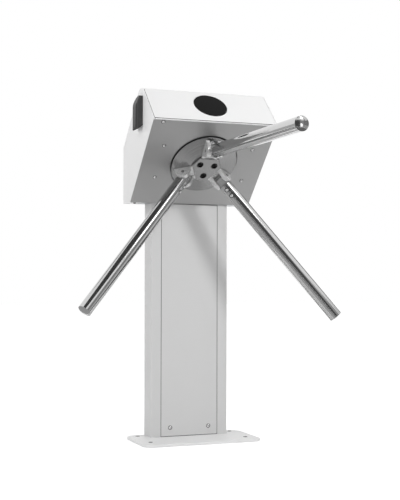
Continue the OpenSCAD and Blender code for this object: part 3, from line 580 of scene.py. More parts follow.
# Cast acrylic sheet: deep black, its wide ripple too shallow to break the reflection
BLACK_WINDOW = Moulded("black_acrylic_window", "#101010", 0.2, specular=0.05, grain_mm=30.0)

# Injection-moulded ABS and polycarbonate: dark, with a dull gloss from the mould's grain
DARK_HOUSING = Moulded("black_abs_signal_housing", "#4A4A4A", 0.42, specular=0.2)
SMOKED_LENS = Moulded("smoked_polycarbonate_lens", "#2A2A2A", 0.25, specular=0.12, grain_mm=14.0,
                      depth_mm=0.03)

# Moulded EPDM and nylon: rubber is matt, nylon has a little gloss
# The black rubber also paints shade: the rings in the anchor holes and the cords in the hood's seams
BLACK_RUBBER_AND_SHADE = Moulded("black_epdm_rubber_and_painted_shade", "#202020", 0.7, specular=0.3)
BLACK_PLASTIC = Moulded("black_nylon", "#1C1C1C", 0.45, specular=0.4)

# Solder mask, printed and cured on a circuit board: smooth dark green
GREEN_BOARD = Moulded("green_solder_mask", "#1E4A30", 0.3)

# Zinc-plated sheet: a slightly blotchy bluish grey
ZINC_SHEET = RubbedSteel("zinc_plated_sheet", "#B9BCBE", 0.35, metallic=1.0, line_mm=2.0, run_mm=8.0,
                         contrast=0.08)

# Steel turned and ground: a bright grey with fine lines
TURNED_STEEL = RubbedSteel("turned_and_ground_steel", "#A9A9AA", 0.22, metallic=1.0)

# Steel blacked in a hot oxide bath: black with a faint metal sheen
# Black oxide also colours the screws' washers, whose rims past the heads are painted shade
BLACK_OXIDE_AND_SHADE = Moulded("black_oxide_steel_and_painted_shade", "#191919", 0.35, metallic=0.6, grain_mm=2.0)

# Enamelled wire wound in a brass frame: its turns show as coarse lines
WOUND_COIL = RubbedSteel("wound_coil_in_brass_frame", "#A8863C", 0.3, metallic=1.0, line_mm=1.0,
                         run_mm=30.0, contrast=0.15)

CARRIED = {
    ZINC_SHEET: ("head_floor", "gusset_left", "gusset_right", "chassis_back", "mechanism_plate",
                 "power_supply"),
    TURNED_STEEL: ("bearing_housing", "outer_races", "inner_races", "bearing_balls", "hub_shaft",
                   "drive_gear", "locking_disc", "shaft_nut", "pawl_posts", "pawl_left", "pawl_right",
                   "plunger_left", "plunger_right"),
    FASTENER: ("floor_bolts", "housing_bolts"),
    BLACK_PLASTIC: ("reader_cup", "position_sensor", "sensor_disc"),
    BLACK_OXIDE_AND_SHADE: ("damper_body", "pawl_springs"),
    WOUND_COIL: ("solenoid_left", "solenoid_right", "damper_pinion"),
    GREEN_BOARD: ("control_board",),
    BLACK_RUBBER_AND_SHADE: ("cable_grommet",),
}


# Placing


def show(name: str, mesh: bmesh.types.BMesh, finish: Finish, body: str, place: Matrix,
         stands_for: Sequence[str] = (), sharp: float = 32.0) -> bpy.types.Object:
    """Makes a visible piece from a mesh in millimetres.

    Args:
        name: the piece's name.
        mesh: its mesh; it is freed.
        finish: its finish.
        body: the body it rides on.
        place: where its own origin is, in metres.
        stands_for: the nodes it replaces.
        sharp: the angle in degrees above which an edge is shown sharp.

    Returns:
        The piece.
    """
    weld = 0.001
    bmesh.ops.remove_doubles(mesh, verts=mesh.verts, dist=weld)
    bmesh.ops.scale(mesh, vec=(MM, MM, MM), verts=mesh.verts)
    for face in mesh.faces:
        face.smooth = True
    piece = as_object(name, mesh)
    data = piece.data
    data.set_sharp_from_angle(angle=math.radians(sharp))
    weigh = piece.modifiers.new("flat faces stay flat", "WEIGHTED_NORMAL")
    weigh.keep_sharp = True
    graph = bpy.context.evaluated_depsgraph_get()
    final = bpy.data.meshes.new_from_object(piece.evaluated_get(graph), depsgraph=graph)
    piece.modifiers.clear()
    piece.data = final
    final.name = name
    bpy.data.meshes.remove(data)
    piece.data.materials.append(finish.build())
    piece.matrix_world = place
    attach(piece, body)
    if stands_for:
        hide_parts(*stands_for)
    LOG.info("%s: %d faces, %s", name, len(piece.data.polygons), finish.name)
    return piece


@dataclass
class Places:
    """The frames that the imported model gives, each with its origin in metres."""

    joints: dict[str, dict[str, Any]]
    world: Matrix = field(default_factory=lambda: Matrix.Identity(4))

    @staticmethod
    def frame(origin: Sequence[float], x: Vector, z: Vector) -> Matrix:
        """A frame from its origin and two of its axes."""
        y = z.cross(x)
        place = Matrix((x, y, z)).transposed().to_4x4()
        place.translation = origin
        return place

    @property
    def hub(self) -> Matrix:
        """Where the hub's axis meets the plate: +Z out along the axis, +Y up the plate."""
        joint = self.joints["hub_turn"]
        return self.frame(joint["pos_m"], Vector((1, 0, 0)), Vector(joint["axis"]).normalized())

    def arm(self, name: str, cone: float) -> Matrix:
        """On an arm's hinge pin: +Z along the arm, +Y along the pin.

        Args:
            name: top, left or right.
            cone: angle in degrees between the arm and the hub's axis.

        Returns:
            The frame.
        """
        joint = self.joints[f"arm_{name}_fold"]
        out = self.hub.to_3x3().col[2]
        along_pin = -Vector(joint["axis"]).normalized()
        radial = along_pin.cross(out)
        upright = self.frame(joint["pos_m"], radial, out)
        return upright @ turned(cone, "Y")


@dataclass
class Column:
    """Base plate, bent column sheet and its front panel."""

    places: Places
    base_w: float = 360.0
    base_d: float = 192.0
    base_t: float = 8.0
    base_r: float = 28.0
    anchor_dx: float = 292.0
    anchor_dy: float = 120.0
    anchor_back: float = 20.0
    anchor_r: float = 6.5
    anchor_mouth: float = 0.5
    shade_sleeve_wall: float = 1.2
    cable_hole: float = 36.0
    duct_x: float = 30.0
    duct_w: float = 50.0
    duct_d: float = 26.0
    width: float = 240.0
    depth: float = 62.0
    height: float = 683.0
    sheet: float = 2.0
    edge_w: float = 31.0
    bend: float = 3.0
    gap: float = 1.5
    cord: float = 1.3
    cord_deep: float = 0.5
    ledge: float = 10.0
    lap: float = 2.0
    flange: float = 3.0
    screw_x: float = 60.0
    screw_z: float = 26.0
    screw_r: float = 5.0
    screw_h: float = 2.8
    screw_hole: float = 2.1
    drive_r: float = 1.6
    shade_washer_past: float = 1.1
    play: float = 0.05

    @property
    def front(self) -> float:
        """Y of the column's front face."""
        return self.base_d / 2 - self.depth

    @property
    def anchors(self) -> list[Matrix]:
        """Places of the four anchor holes."""
        back = self.base_d / 2 - self.anchor_back
        return [at(x * self.anchor_dx / 2, y) for x in (-1, 1) for y in (back, back - self.anchor_dy)]

    @property
    def screw_spots(self) -> list[Matrix]:
        """Places of the panel's screws, on its face."""
        return [at(x * self.screw_x, self.base_t + self.screw_z) for x in (-1, 1)]

    def upright(self, deep: float = 0.0) -> Matrix:
        """Foot of the column's front, this deep behind its face: +Y up, +Z out."""
        return self.places.world @ at(0, (self.front + deep) * MM, 0) @ turned(90, "X")

    def cable_cut(self, high: float) -> bmesh.types.BMesh:
        """What cuts the cable opening, up to a height."""
        middle = (self.duct_x, self.front + self.depth / 2)
        return slab(box_outline(self.cable_hole, self.cable_hole, 1.0, middle), -1, high, 0.0)

    def base_plate(self) -> None:
        """The base plate: laser-cut, its rim ground round, with four anchor holes and a cable opening."""
        t, r, mouth = self.base_t, self.anchor_r, self.anchor_mouth
        outline = box_outline(self.base_w, self.base_d, self.base_r, steps=12)
        plate = slab(outline, 0, t, 1.0, 0.8, 4)
        wide = r + mouth
        drill = lathe([(0, -1), (wide + 1, -1), (wide, 0), (r, mouth), (r, t - mouth), (wide, t),
                       (wide + 1, t + 1), (0, t + 1)], 48)
        plate = carve(carve(plate, placed(drill, *self.anchors)), self.cable_cut(t + 1))
        show("base_plate_cut", plate, PALE_PAINT, "frame", self.places.world, ["base_plate"])

    def shade_sleeves(self) -> None:
        """Black rubber rings in each anchor hole below the plate's top: painted shade on the holes' walls."""
        tube = slab(circle_outline(self.anchor_r - self.play), self.play, self.base_t - self.play, 0.15)
        hole = slab(circle_outline(self.anchor_r - self.shade_sleeve_wall), -1, self.base_t + 1, 0.0)
        # The black rings stand for the shade that falls on the holes' walls: painted shade
        shade_sleeves = placed(carve(tube, hole), *self.anchors)
        show("anchor_hole_sleeves", shade_sleeves, BLACK_RUBBER_AND_SHADE, "frame", self.places.world)

    def shell(self) -> None:
        """The bent sheet with its two front members, the ledges behind the panel, and the end flanges."""
        t, half = self.sheet, self.width / 2
        y0, y1 = self.front, self.front + self.depth
        open_half = half - self.edge_w
        outer, inner_r = self.bend, self.bend - t
        section = cornered([
            (open_half, y0, 0.3), (half, y0, outer), (half, y1, outer), (-half, y1, outer),
            (-half, y0, outer), (-open_half, y0, 0.3), (-open_half, y0 + t, 0.3),
            (-half + t, y0 + t, inner_r), (-half + t, y1 - t, inner_r),
            (half - t, y1 - t, inner_r), (half - t, y0 + t, inner_r), (open_half, y0 + t, 0.3)], 5)
        parts = [slab(section, 0, self.height, 0.3)]
        for side in (-1, 1):
            middle = (side * (open_half + (self.lap - self.ledge) / 2), y0 + 1.5 * t)
            parts.append(slab(box_outline(self.ledge + self.lap, t, 0.2, middle), 0, self.height, 0.2))
        inner = box_outline(self.width - 2 * t, self.depth - 3 * t, 0.5, (0, (y0 + y1 + t) / 2))
        low = carve(slab(inner, 0, self.flange, 0.2), self.cable_cut(self.flange + 1))
        top = slab(inner, self.height - self.flange, self.height, 0.2)
        duct = box_outline(self.duct_w, self.duct_d, 1.0, (self.duct_x, (y0 + y1) / 2))
        top = carve(top, slab(duct, self.height - 2 * self.flange, self.height + 1, 0.0))
        shell = placed(joined([*parts, low, top]), at(z=self.base_t))
        show("column_bent_shell", shell, GREY_PAINT, "frame", self.places.world,
             ["column_shell"])

    def panel(self) -> None:
        """The front panel, flush between the members, with a hair gap all round."""
        w = self.width - 2 * self.edge_w - 2 * self.gap
        h = self.height - 2 * self.gap
        sheet = slab(box_outline(w, h, 1.0, (0, self.base_t + self.height / 2)), 0, self.sheet, 0.45, 0.2)
        holes = slab(circle_outline(self.screw_hole, count=24), -1, self.sheet + 1, 0.0)
        sheet = carve(sheet, placed(holes, *self.screw_spots))
        show("column_front_panel", sheet, GREY_PAINT, "frame", self.upright(self.sheet),
             ["column_panel"])

    def seal(self) -> None:
        """A black sealing cord that lies in the gap round the panel."""
        w, h = self.width - 2 * self.edge_w - self.gap, self.height - self.gap
        middle = (0, self.base_t + self.height / 2)
        deep = self.sheet - self.cord_deep
        cord = slab(box_outline(w + self.cord, h + self.cord, 1.2, middle), 0.02, deep, 0.2)
        inside = slab(box_outline(w - self.cord, h - self.cord, 0.6, middle), -1, self.sheet + 1, 0.0)
        show("panel_seal_cord", carve(cord, inside), BLACK_RUBBER_AND_SHADE, "frame",
             self.upright(self.sheet))

    def screws(self) -> None:
        """Two domed security screws near the panel's foot, each on a black washer whose rim is painted shade.
        """
        head = screw_head(self.screw_r, self.screw_h, self.drive_r)
        heads = placed(head, *[spot @ at(z=0.4) for spot in self.screw_spots])
        show("panel_dome_screws", heads, FASTENER, "frame", self.upright(),
             ["panel_screws"])
        # Each washer's black rim past the head is a ring of painted shade round the screw
        shade_washers = placed(shade_washer(self.screw_r + self.shade_washer_past, 0.5), *self.screw_spots)
        show("panel_screw_washers", shade_washers, BLACK_OXIDE_AND_SHADE, "frame", self.upright())

    def build(self) -> None:
        """Builds the column from the floor up."""
        self.base_plate()
        self.shade_sleeves()
        self.shell()
        self.panel()
        self.seal()
        self.screws()


@dataclass
class Head:
    """Hood, hub plate and reader window, with their screws and black cords of painted shade in the seams."""

    places: Places
    width: float = 372.0
    base_top: float = 691.0
    foot: float = 70.0
    back: float = 98.0
    front_len: float = 301.0
    lean: float = 45.4
    top_len: float = 167.0
    top_slope: float = 45.0
    back_slope: float = 45.7
    top_round: float = 40.0
    sheet: float = 1.5
    fold: float = 1.6
    hood_edge: float = 0.9
    front_wall: float = 4.0
    open_foot: float = 5.0
    plate_t: float = 2.0
    lip: float = 4.0
    lip_deep: float = 3.5
    tab_w: float = 26.0
    tab_in: float = 11.0
    flange_w: float = 34.5
    hub_up: float = 152.6
    opening_r: float = 99.5
    window_r: float = 49.0
    window_up: float = 76.0
    window_t: float = 3.0
    window_play: float = 0.3
    screw_r: float = 4.6
    screw_h: float = 3.6
    drive_r: float = 1.5
    shade_washer_past: float = 1.0
    under_x: float = 168.0
    under_y: float = 44.0
    under_r: float = 5.0
    under_h: float = 2.75
    under_drive: float = 1.8
    side_x: float = 134.5
    side_ups: tuple[float, float] = (96.0, 210.0)
    top_x: float = 157.0
    top_in: float = 6.0
    seam: float = 1.4
    ridge_gap: float = 3.0
    seam_deep: float = 1.3

    @property
    def plate_place(self) -> Matrix:
        """Middle of the plate's lower edge: +Y up the plate, +Z out of it."""
        return self.places.hub @ at(0, -self.hub_up * MM, 0)

    @property
    def corners(self) -> list[Point]:
        """Outline of the head in y and z: foot, ridge, peak, knee and heel."""
        a, b, c = (math.radians(v) for v in (self.lean, self.top_slope, self.back_slope))
        foot = (self.back - self.foot, self.base_top)
        ridge = (foot[0] - self.front_len * math.cos(a), foot[1] + self.front_len * math.sin(a))
        peak = (ridge[0] + self.top_len * math.cos(b), ridge[1] + self.top_len * math.sin(b))
        knee = (self.back, peak[1] - (self.back - peak[0]) * math.tan(c))
        return [foot, ridge, peak, knee, (self.back, self.base_top)]

    @property
    def outline(self) -> list[Corner]:
        """The head's corners, anticlockwise seen from +X, with the radii of its folds."""
        radii = (1.2, self.fold, self.top_round, self.fold * 2, self.fold)
        return [(y, z, r) for (y, z), r in reversed(list(zip(self.corners, radii)))]

    @staticmethod
    def across(mesh: bmesh.types.BMesh) -> bmesh.types.BMesh:
        """Turns a prism drawn in y and z so that its length runs along X."""
        turn = Matrix(((0, 0, 1, 0), (1, 0, 0, 0), (0, 1, 0, 0), (0, 0, 0, 1)))
        return placed(mesh, turn)

    @property
    def reach(self) -> float:
        """Length of the hub plate's bed, from the foot to the lip."""
        return self.front_len - self.lip

    @property
    def upper_face(self) -> Matrix:
        """Middle of the ridge, in millimetres: +Y up the upper front face, +Z out of it."""
        return at(0, *self.corners[1]) @ turned(self.top_slope, "X")

    def in_world(self, spot: Matrix) -> Matrix:
        """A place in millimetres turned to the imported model's metres."""
        place = spot.copy()
        place.translation *= MM
        return self.places.world @ place

    def hollow(self) -> bmesh.types.BMesh:
        """What empties the hood, open at its foot, with a thicker front wall for the plate's bed."""
        foot, ridge, peak, knee, heel = self.corners
        t = self.sheet
        half = self.width / 2 - t
        # The sheet's thickness measured upright where it slopes by 45 degrees
        slant = t * 1.42
        inner = [(heel[0] - t, heel[1] - self.open_foot, 0.3), (knee[0] - t, knee[1] - t * 0.4, self.fold),
                 (peak[0], peak[1] - slant, self.top_round - t),
                 (ridge[0] - self.front_wall, ridge[1] - self.front_wall - slant, 0.3),
                 (foot[0] - self.front_wall, foot[1] - self.open_foot, 0.3)]
        return self.across(slab(cornered(inner, 10), -half, half, 0.0))

    def front_lip(self) -> bmesh.types.BMesh:
        """The lip above the hub plate, with the tab behind the plate that carries it."""
        t, behind = self.sheet, -self.plate_t
        strip = box_outline(self.width - t, self.lip - 0.6, 0.6, (0, self.reach + self.lip / 2))
        tab = box_outline(self.width - 2 * t, self.tab_w, 0.6, (0, self.reach - self.tab_in))
        return carve(slab(strip, -self.lip_deep, -0.05, 0.5, 0.0), slab(tab, behind - t, behind - 0.02, 0.0),
                     Cut.JOINED)

    def flanges(self) -> bmesh.types.BMesh:
        """The two flanges under the head that its screws go through."""
        t, deep = self.sheet, self.foot - 5.5
        x = self.width / 2 - t / 2 - self.flange_w / 2
        y = self.back - t - deep / 2 + 0.5
        return joined([slab(box_outline(self.flange_w, deep, 0.5, (side * x, y)), self.base_top,
                            self.base_top + t, 0.2) for side in (-1, 1)])

    def window_bore(self) -> bmesh.types.BMesh:
        """What cuts the window's opening, with its mouth broken."""
        r = self.window_r + self.window_play
        mouth = self.window_r + 0.8
        return lathe([(0, -8), (r, -8), (r, -0.5), (mouth, 0.05), (mouth, 4), (0, 4)], 128)

    def hood(self) -> None:
        """The hood: sheet folded over front, top and back, with welded and ground side cheeks."""
        half = self.width / 2
        hood = self.across(slab(cornered(self.outline, 10), -half, half, self.hood_edge, steps=4))
        hood = carve(hood, self.hollow())
        to_world = Matrix.Scale(1 / MM, 4) @ self.plate_place @ Matrix.Scale(MM, 4)
        bed = box_outline(self.width + 4, self.reach + 6, 0.0, (0, self.reach / 2 - 3))
        hood = carve(hood, placed(slab(bed, -self.plate_t, 6, 0.0), to_world))
        hood = carve(hood, placed(self.front_lip(), to_world), Cut.JOINED)
        hood = carve(hood, self.flanges(), Cut.JOINED)
        hood = carve(hood, placed(self.window_bore(), self.upper_face @ at(0, self.window_up)))
        seams = placed(slab(self.side_seam(0.0), -self.seam_deep, 3, 0.0),
                       *[self.upper_face @ at(x * self.seam_x) for x in (-1, 1)])
        hood = carve(hood, seams)
        hood = carve(hood, placed(slab(self.ridge_seam(0.0), -self.seam_deep, 3, 0.0), self.upper_face))
        show("hood_folded_sheet", hood, WHITE_PAINT, "frame", self.places.world, ["hood"],
             sharp=28.0)

    @property
    def seam_x(self) -> float:
        """Distance of the upper front face's side seams from the middle."""
        return self.width / 2 - self.sheet - self.seam

    def side_seam(self, play: float) -> Outline:
        """A side seam on the upper front face, from the ridge to the rounded top, less some play."""
        length = self.top_len - self.top_round * 0.8
        return box_outline(self.seam - play, length - play, 0.2, (0, length / 2))

    def ridge_seam(self, play: float) -> Outline:
        """The seam along the ridge, less some play."""
        return box_outline(self.width - 2 * self.sheet - self.seam, self.ridge_gap - play, 0.2,
                           (0, self.fold + self.ridge_gap / 2))

    def seam_shade_cords(self) -> None:
        """Black cords of painted shade: along the ridge, between the hood and its lip, and up the left side
        seam.
        """
        deep = -self.seam_deep - 0.1
        along = slab(self.ridge_seam(0.1), deep, -0.2, 0.15)
        up = placed(slab(self.side_seam(0.1), deep, -0.3, 0.15), at(-self.seam_x))
        # The cords stand for the shade in the seams' grooves: painted shade, up the left side seam only
        show("hood_seal_cords", joined([along, up]), BLACK_RUBBER_AND_SHADE, "frame",
             self.in_world(self.upper_face))

    def plate(self) -> None:
        """The brushed hub plate with its round opening."""
        play = 0.3
        outline = box_outline(self.width - 2 * play, self.reach - play, 1.2, (0, self.reach / 2))
        r, mouth = self.opening_r, self.opening_r + 0.4
        opening = lathe([(0, -4), (r, -4), (r, -0.4), (mouth, 0.01), (mouth, 2), (0, 2)], 128)
        plate = carve(slab(outline, -self.plate_t, 0, 0.35), placed(opening, at(0, self.hub_up)))
        show("hub_plate_brushed", plate, BRUSHED_PLATE, "frame", self.plate_place,
             ["hub_plate"])

    def plate_screws(self) -> None:
        """Six domed screws that hold the hub plate."""
        spots = [at(x * self.side_x, u) for x in (-1, 1) for u in self.side_ups]
        spots += [at(x * self.top_x, self.reach - self.top_in) for x in (-1, 1)]
        head = screw_head(self.screw_r, self.screw_h, self.drive_r)
        heads = placed(head, *[spot @ at(z=0.4) for spot in spots])
        show("plate_dome_screws", heads, FASTENER, "frame", self.plate_place,
             ["plate_screws"])
        # Each washer's black rim past the head is a ring of painted shade round the screw
        shade_washers = placed(shade_washer(self.screw_r + self.shade_washer_past, 0.5), *spots)
        show("plate_screw_washers", shade_washers, BLACK_OXIDE_AND_SHADE, "frame", self.plate_place)

    def hood_screws(self) -> None:
        """Two domed screws under the head, through the hood's flanges."""
        head = screw_head(self.under_r, self.under_h, self.under_drive)
        heads = placed(head, *[at(x * self.under_x, self.under_y) for x in (-1, 1)])
        hanging = placed(heads, Matrix.Diagonal((1, 1, -1, 1)))
        show("hood_dome_screws", hanging, BLACK_OXIDE_AND_SHADE, "frame",
             self.in_world(at(0, 0, self.base_top)), ["hood_screws"])

    def window(self) -> None:
        """The reader's round window: black acrylic with a rounded rim, a hair proud of the hood."""
        r, edge = self.window_r, 0.6
        turns = [k * math.pi / 8 for k in range(5)]
        rim = [(r - edge * (1 - math.cos(t)), 0.1 - edge * (1 - math.sin(t))) for t in turns]
        pane = lathe([(0, -self.window_t), (r, -self.window_t), *rim, (r - 6, 0.3), (0, 0.4)], 128)
        show("reader_window_pane", pane, BLACK_WINDOW, "frame",
             self.in_world(self.upper_face @ at(0, self.window_up)), ["reader_window"])

    def build(self) -> None:
        """Builds the head from the hood outward."""
        self.hood()
        self.seam_shade_cords()
        self.plate()
        self.plate_screws()
        self.hood_screws()
        self.window()


@dataclass
class SignalModule:
    """A signal module on one side of the head: a moulded housing with a domed, smoked lens."""

    places: Places
    side: str
    out: float = 19.0
    depth: float = 41.0
    height: float = 98.0
    front: float = -86.0
    low: float = 886.0
    rise: float = 14.0
    back_round: float = 32.0
    fall: float = 8.0
    wall: float = 186.0
    top_out: float = 11.0
    taper_from: float = 956.0
    bulge: float = 6.5
    rim: float = 3.2
    groove: float = 0.5
    past: float = 5.0

    def outline(self) -> Outline:
        """The module's outline in y and z, with its upper back corner rounded."""
        y0, z0, y1, z1 = self.front, self.low, self.front + self.depth, self.low + self.height
        corners = [(y0, z0, 2.5), (y1, z0, 5.0), (y1, z1 - self.fall, self.back_round), (y0, z1, 4.0)]
        return cornered(corners, 10)

    def cutter(self, loop: Loop) -> bmesh.types.BMesh:
        """A cutter drawn in x and z that runs along Y past both ends of the module."""
        behind, before = self.front + self.depth + self.past, self.front - self.past
        return placed(slab(free_outline(loop), -behind, -before, 0.0), turned(90, "X"))

    def foot_cut(self) -> bmesh.types.BMesh:
        """What slopes the module's underside, so that it rises towards its outer face."""
        z, past = self.low, self.past
        return self.cutter([(-1, z - 20), (self.out + past, z - 20),
                            (self.out + past, z - self.rise * past / self.out), (0, z + self.rise),
                            (-1, z + self.rise)])

    def top_cut(self) -> bmesh.types.BMesh:
        """What tapers the module's outer face towards its top."""
        lean = (self.out - self.top_out) / (self.low + self.height - self.taper_from)
        wide, high = 30.0, 60.0
        z = self.taper_from
        return self.cutter([(self.out, z), (self.out + wide, z), (self.out + wide, z + high),
                            (self.out - lean * high, z + high)])

    def build(self) -> None:
        """Builds the housing, then the lens that sits in it with a fine groove all round."""
        x = -1 if self.side == "left" else 1
        whole = self.outline()
        seat = self.out - self.bulge - self.groove
        body = Head.across(slab(whole, 0, self.out, self.bulge, 0.0, 8))
        body = carve(body, joined([self.foot_cut(), self.top_cut()]))
        body = carve(body, Head.across(slab(lambda by: whole(by + self.rim), seat, self.out + 4, 0.0)))
        cover = Head.across(slab(lambda by: whole(by + self.rim + self.groove), seat + 0.02, self.out,
                                 self.bulge - 1.5, 0.0, 8))
        cover = carve(cover, self.top_cut())
        place = self.places.world @ at(x * self.wall * MM, 0, 0)
        flip = Matrix.Diagonal((x, 1, 1, 1))
        show(f"signal_housing_{self.side}", placed(body, flip), DARK_HOUSING, "frame",
             place, [f"signal_{self.side}"])
        show(f"signal_cover_{self.side}", placed(cover, flip), SMOKED_LENS, "frame", place,
             [f"signal_lens_{self.side}"])


@dataclass
class Hub:
    """Disc, casting, cap screws and hinge pins of the hub."""

    places: Places
    rest_turn: float = -2.6
    arm_turns: tuple[float, float, float] = (90.0, 210.0, 330.0)
    disc_r: float = 97.0
    rim: float = 5.0
    top: float = 17.0
    flat_r: float = 46.0
    back: float = 3.0
    end: float = 24.0
    flat: float = 35.0
    corner: float = 45.0
    socket_r: float = 25.2
    socket_hole: float = 9.5
    pin_out: float = 66.0
    pin_up: float = 27.6
    pin_r: float = 5.0
    ear_r: float = 18.2
    ear_slope: float = 10.0
    ear_root: float = 34.0
    ear_t: float = 12.0
    ear_gap: float = 24.0
    saddle_r: float = 15.4
    socket_mouth: float = 0.6
    seat_up: float = 1.0
    cap_r: float = 6.0
    cap_h: float = 3.4
    cap_drive: float = 2.9
    pin_break: float = 0.7
    pin_drive: float = 2.3

    @property
    def arms(self) -> list[Matrix]:
        """Turns that bring +X to each arm's direction."""
        return [turned(t + self.rest_turn, "Z") for t in self.arm_turns]

    @property
    def sockets(self) -> list[Matrix]:
        """Places of the three sockets, midway between the arms."""
        return [turned(t + self.rest_turn + 60, "Z") @ at(self.socket_r) for t in self.arm_turns]

    def disc(self) -> None:
        """The disc: turned, with a short skirt at its rim and a soft shoulder up to the flat."""
        r = self.disc_r
        inside = r - self.rim
        profile = rounded([(0, self.back, 0), (inside, self.back, 0.3), (inside, -1, 0.3), (r, -1, 0.5),
                           (r, self.rim, 1.4), (self.flat_r, self.top, 4.0), (0, self.top, 0)], 5)
        show("hub_disc_turned", lathe(profile, 128), TURNED_DISC, "hub", self.places.hub,
             ["hub_disc"])

    def ears(self) -> bmesh.types.BMesh:
        """The two ears of one fork and the bed between them, with the arm's direction along +X."""
        r, root, out, up = self.ear_r, self.ear_root, self.pin_out, self.pin_up
        slope = math.radians(self.ear_slope)
        foot = out + r / math.cos(slope) + up * math.tan(slope)
        turns = [math.radians(t) for t in range(int(self.ear_slope), 136, 5)]
        arc = [(out + r * math.cos(t), up + r * math.sin(t)) for t in turns]
        web = [(out - r - 3, self.end + 1.5), (out - r - 7, self.end - 2.5), (root, self.end - 2.5)]
        half = self.ear_t / 2
        ear = slab(free_outline([(foot, 0.0), *arc, *web, (root, 0.0)]), -half, half, 1.0, steps=4)
        ear = carve(ear, placed(bore(self.pin_r + 0.02, half), at(out, up)))
        reach = self.saddle_r
        under = [math.radians(t) for t in reversed(range(214, 256, 6))]
        hollow = [(out + reach * math.cos(t), up + reach * math.sin(t)) for t in under]
        across = self.ear_gap / 2 + 1
        bed = slab(free_outline([(root, 0.0), (hollow[0][0], 0.0), *hollow, (root, hollow[-1][1])]),
                   -across, across, 0.3)
        stand = turned(90, "X")
        gap = (self.ear_gap + self.ear_t) / 2
        ears = placed(ear, at(0, gap) @ stand, at(0, -gap) @ stand)
        return carve(ears, placed(bed, stand), Cut.JOINED)

    def over_disc(self) -> bmesh.types.BMesh:
        """The space that the disc turns in and a hair more, which the forks stand clear of."""
        r, past, hair, low = self.disc_r, 3, 0.4, -2
        fall = (self.top - self.rim) / (self.disc_r - self.flat_r)
        edge, top = self.rim + hair, self.top + hair
        return lathe([(0, low), (r + past, low), (r + past, edge - past * fall), (r, edge),
                      (self.flat_r, top), (0, top)], 128)

    def core(self) -> None:
        """The casting: a three-sided end face with truncated corners, sockets, and three forks."""
        loop: list[Corner] = []
        spread = math.degrees(math.acos(self.flat / self.corner))
        for t in self.arm_turns:
            for s in (-spread, spread):
                a = math.radians(t + self.rest_turn + s)
                loop.append((self.corner * math.cos(a), self.corner * math.sin(a), 3.0))
        loop.sort(key=lambda c: math.atan2(c[1], c[0]) % (2 * math.pi))
        head = slab(cornered(loop, 6), self.top + 0.02, self.end, 1.4, 0.0, 4)
        forks = carve(placed(self.ears(), *self.arms), self.over_disc())
        head = carve(head, forks.copy())
        h, mouth, seat = self.socket_hole, self.socket_mouth, self.top + self.seat_up
        bit = lathe([(0, seat), (h, seat), (h, self.end - mouth), (h + mouth, self.end),
                     (h + mouth + 1, self.end + 1), (0, self.end + 1)], 48)
        head = carve(head, placed(bit, *self.sockets))
        show("hub_core_casting", head, SATIN_CASTING, "hub", self.places.hub, ["hub_core"],
             sharp=30.0)
        # The forks, cast with the core, get a paler, less metallic copy of its steel: painted light
        show("hub_forks_polished", forks, PAINTED_LIGHT_FORK_STEEL, "hub", self.places.hub, sharp=30.0)

    def cap_screws(self) -> None:
        """Black cap screws at the bottom of the sockets, each in a black lining."""
        seat, r = self.top + self.seat_up, self.cap_r
        crown = seat + self.cap_h
        head = lathe(rounded([(0, seat, 0), (r, seat, 0), (r, crown, 0.5), (0, crown, 0)], 3), 32)
        head = carve(head, slab(circle_outline(self.cap_drive, count=6), seat + 1, seat + 5, 0.0))
        h, wall = self.socket_hole - 0.05, 0.8
        lining = lathe([(h - wall, seat), (h, seat), (h, self.end - wall), (h - wall, self.end - wall)], 48)
        screws = placed(joined([head, lining]), *self.sockets)
        show("hub_cap_screws", screws, BLACK_OXIDE_AND_SHADE, "hub", self.places.hub, ["hub_bolts"])

    def pins(self) -> None:
        """Hinge pins with chamfered ends and a small six-sided recess."""
        half = self.ear_gap / 2 + self.ear_t
        r, cut = self.pin_r, self.pin_break
        pin = lathe([(0, -half), (r - cut, -half), (r, -half + cut), (r, half - cut), (r - cut, half),
                     (0, half)], 48)
        recess = slab(circle_outline(self.pin_drive, count=6), half - 2.5, half + 2, 0.0)
        pin = carve(pin, placed(recess, Matrix.Identity(4), turned(180, "X")))
        across = at(self.pin_out, 0, self.pin_up) @ turned(90, "X")
        pins = placed(pin, *[turn @ across for turn in self.arms])
        show("fork_hinge_pins", pins, FASTENER, "hub", self.places.hub, ["hinge_pins"])

    def build(self) -> None:
        """Builds the hub from its disc outward."""
        self.disc()
        self.core()
        self.cap_screws()
        self.pins()


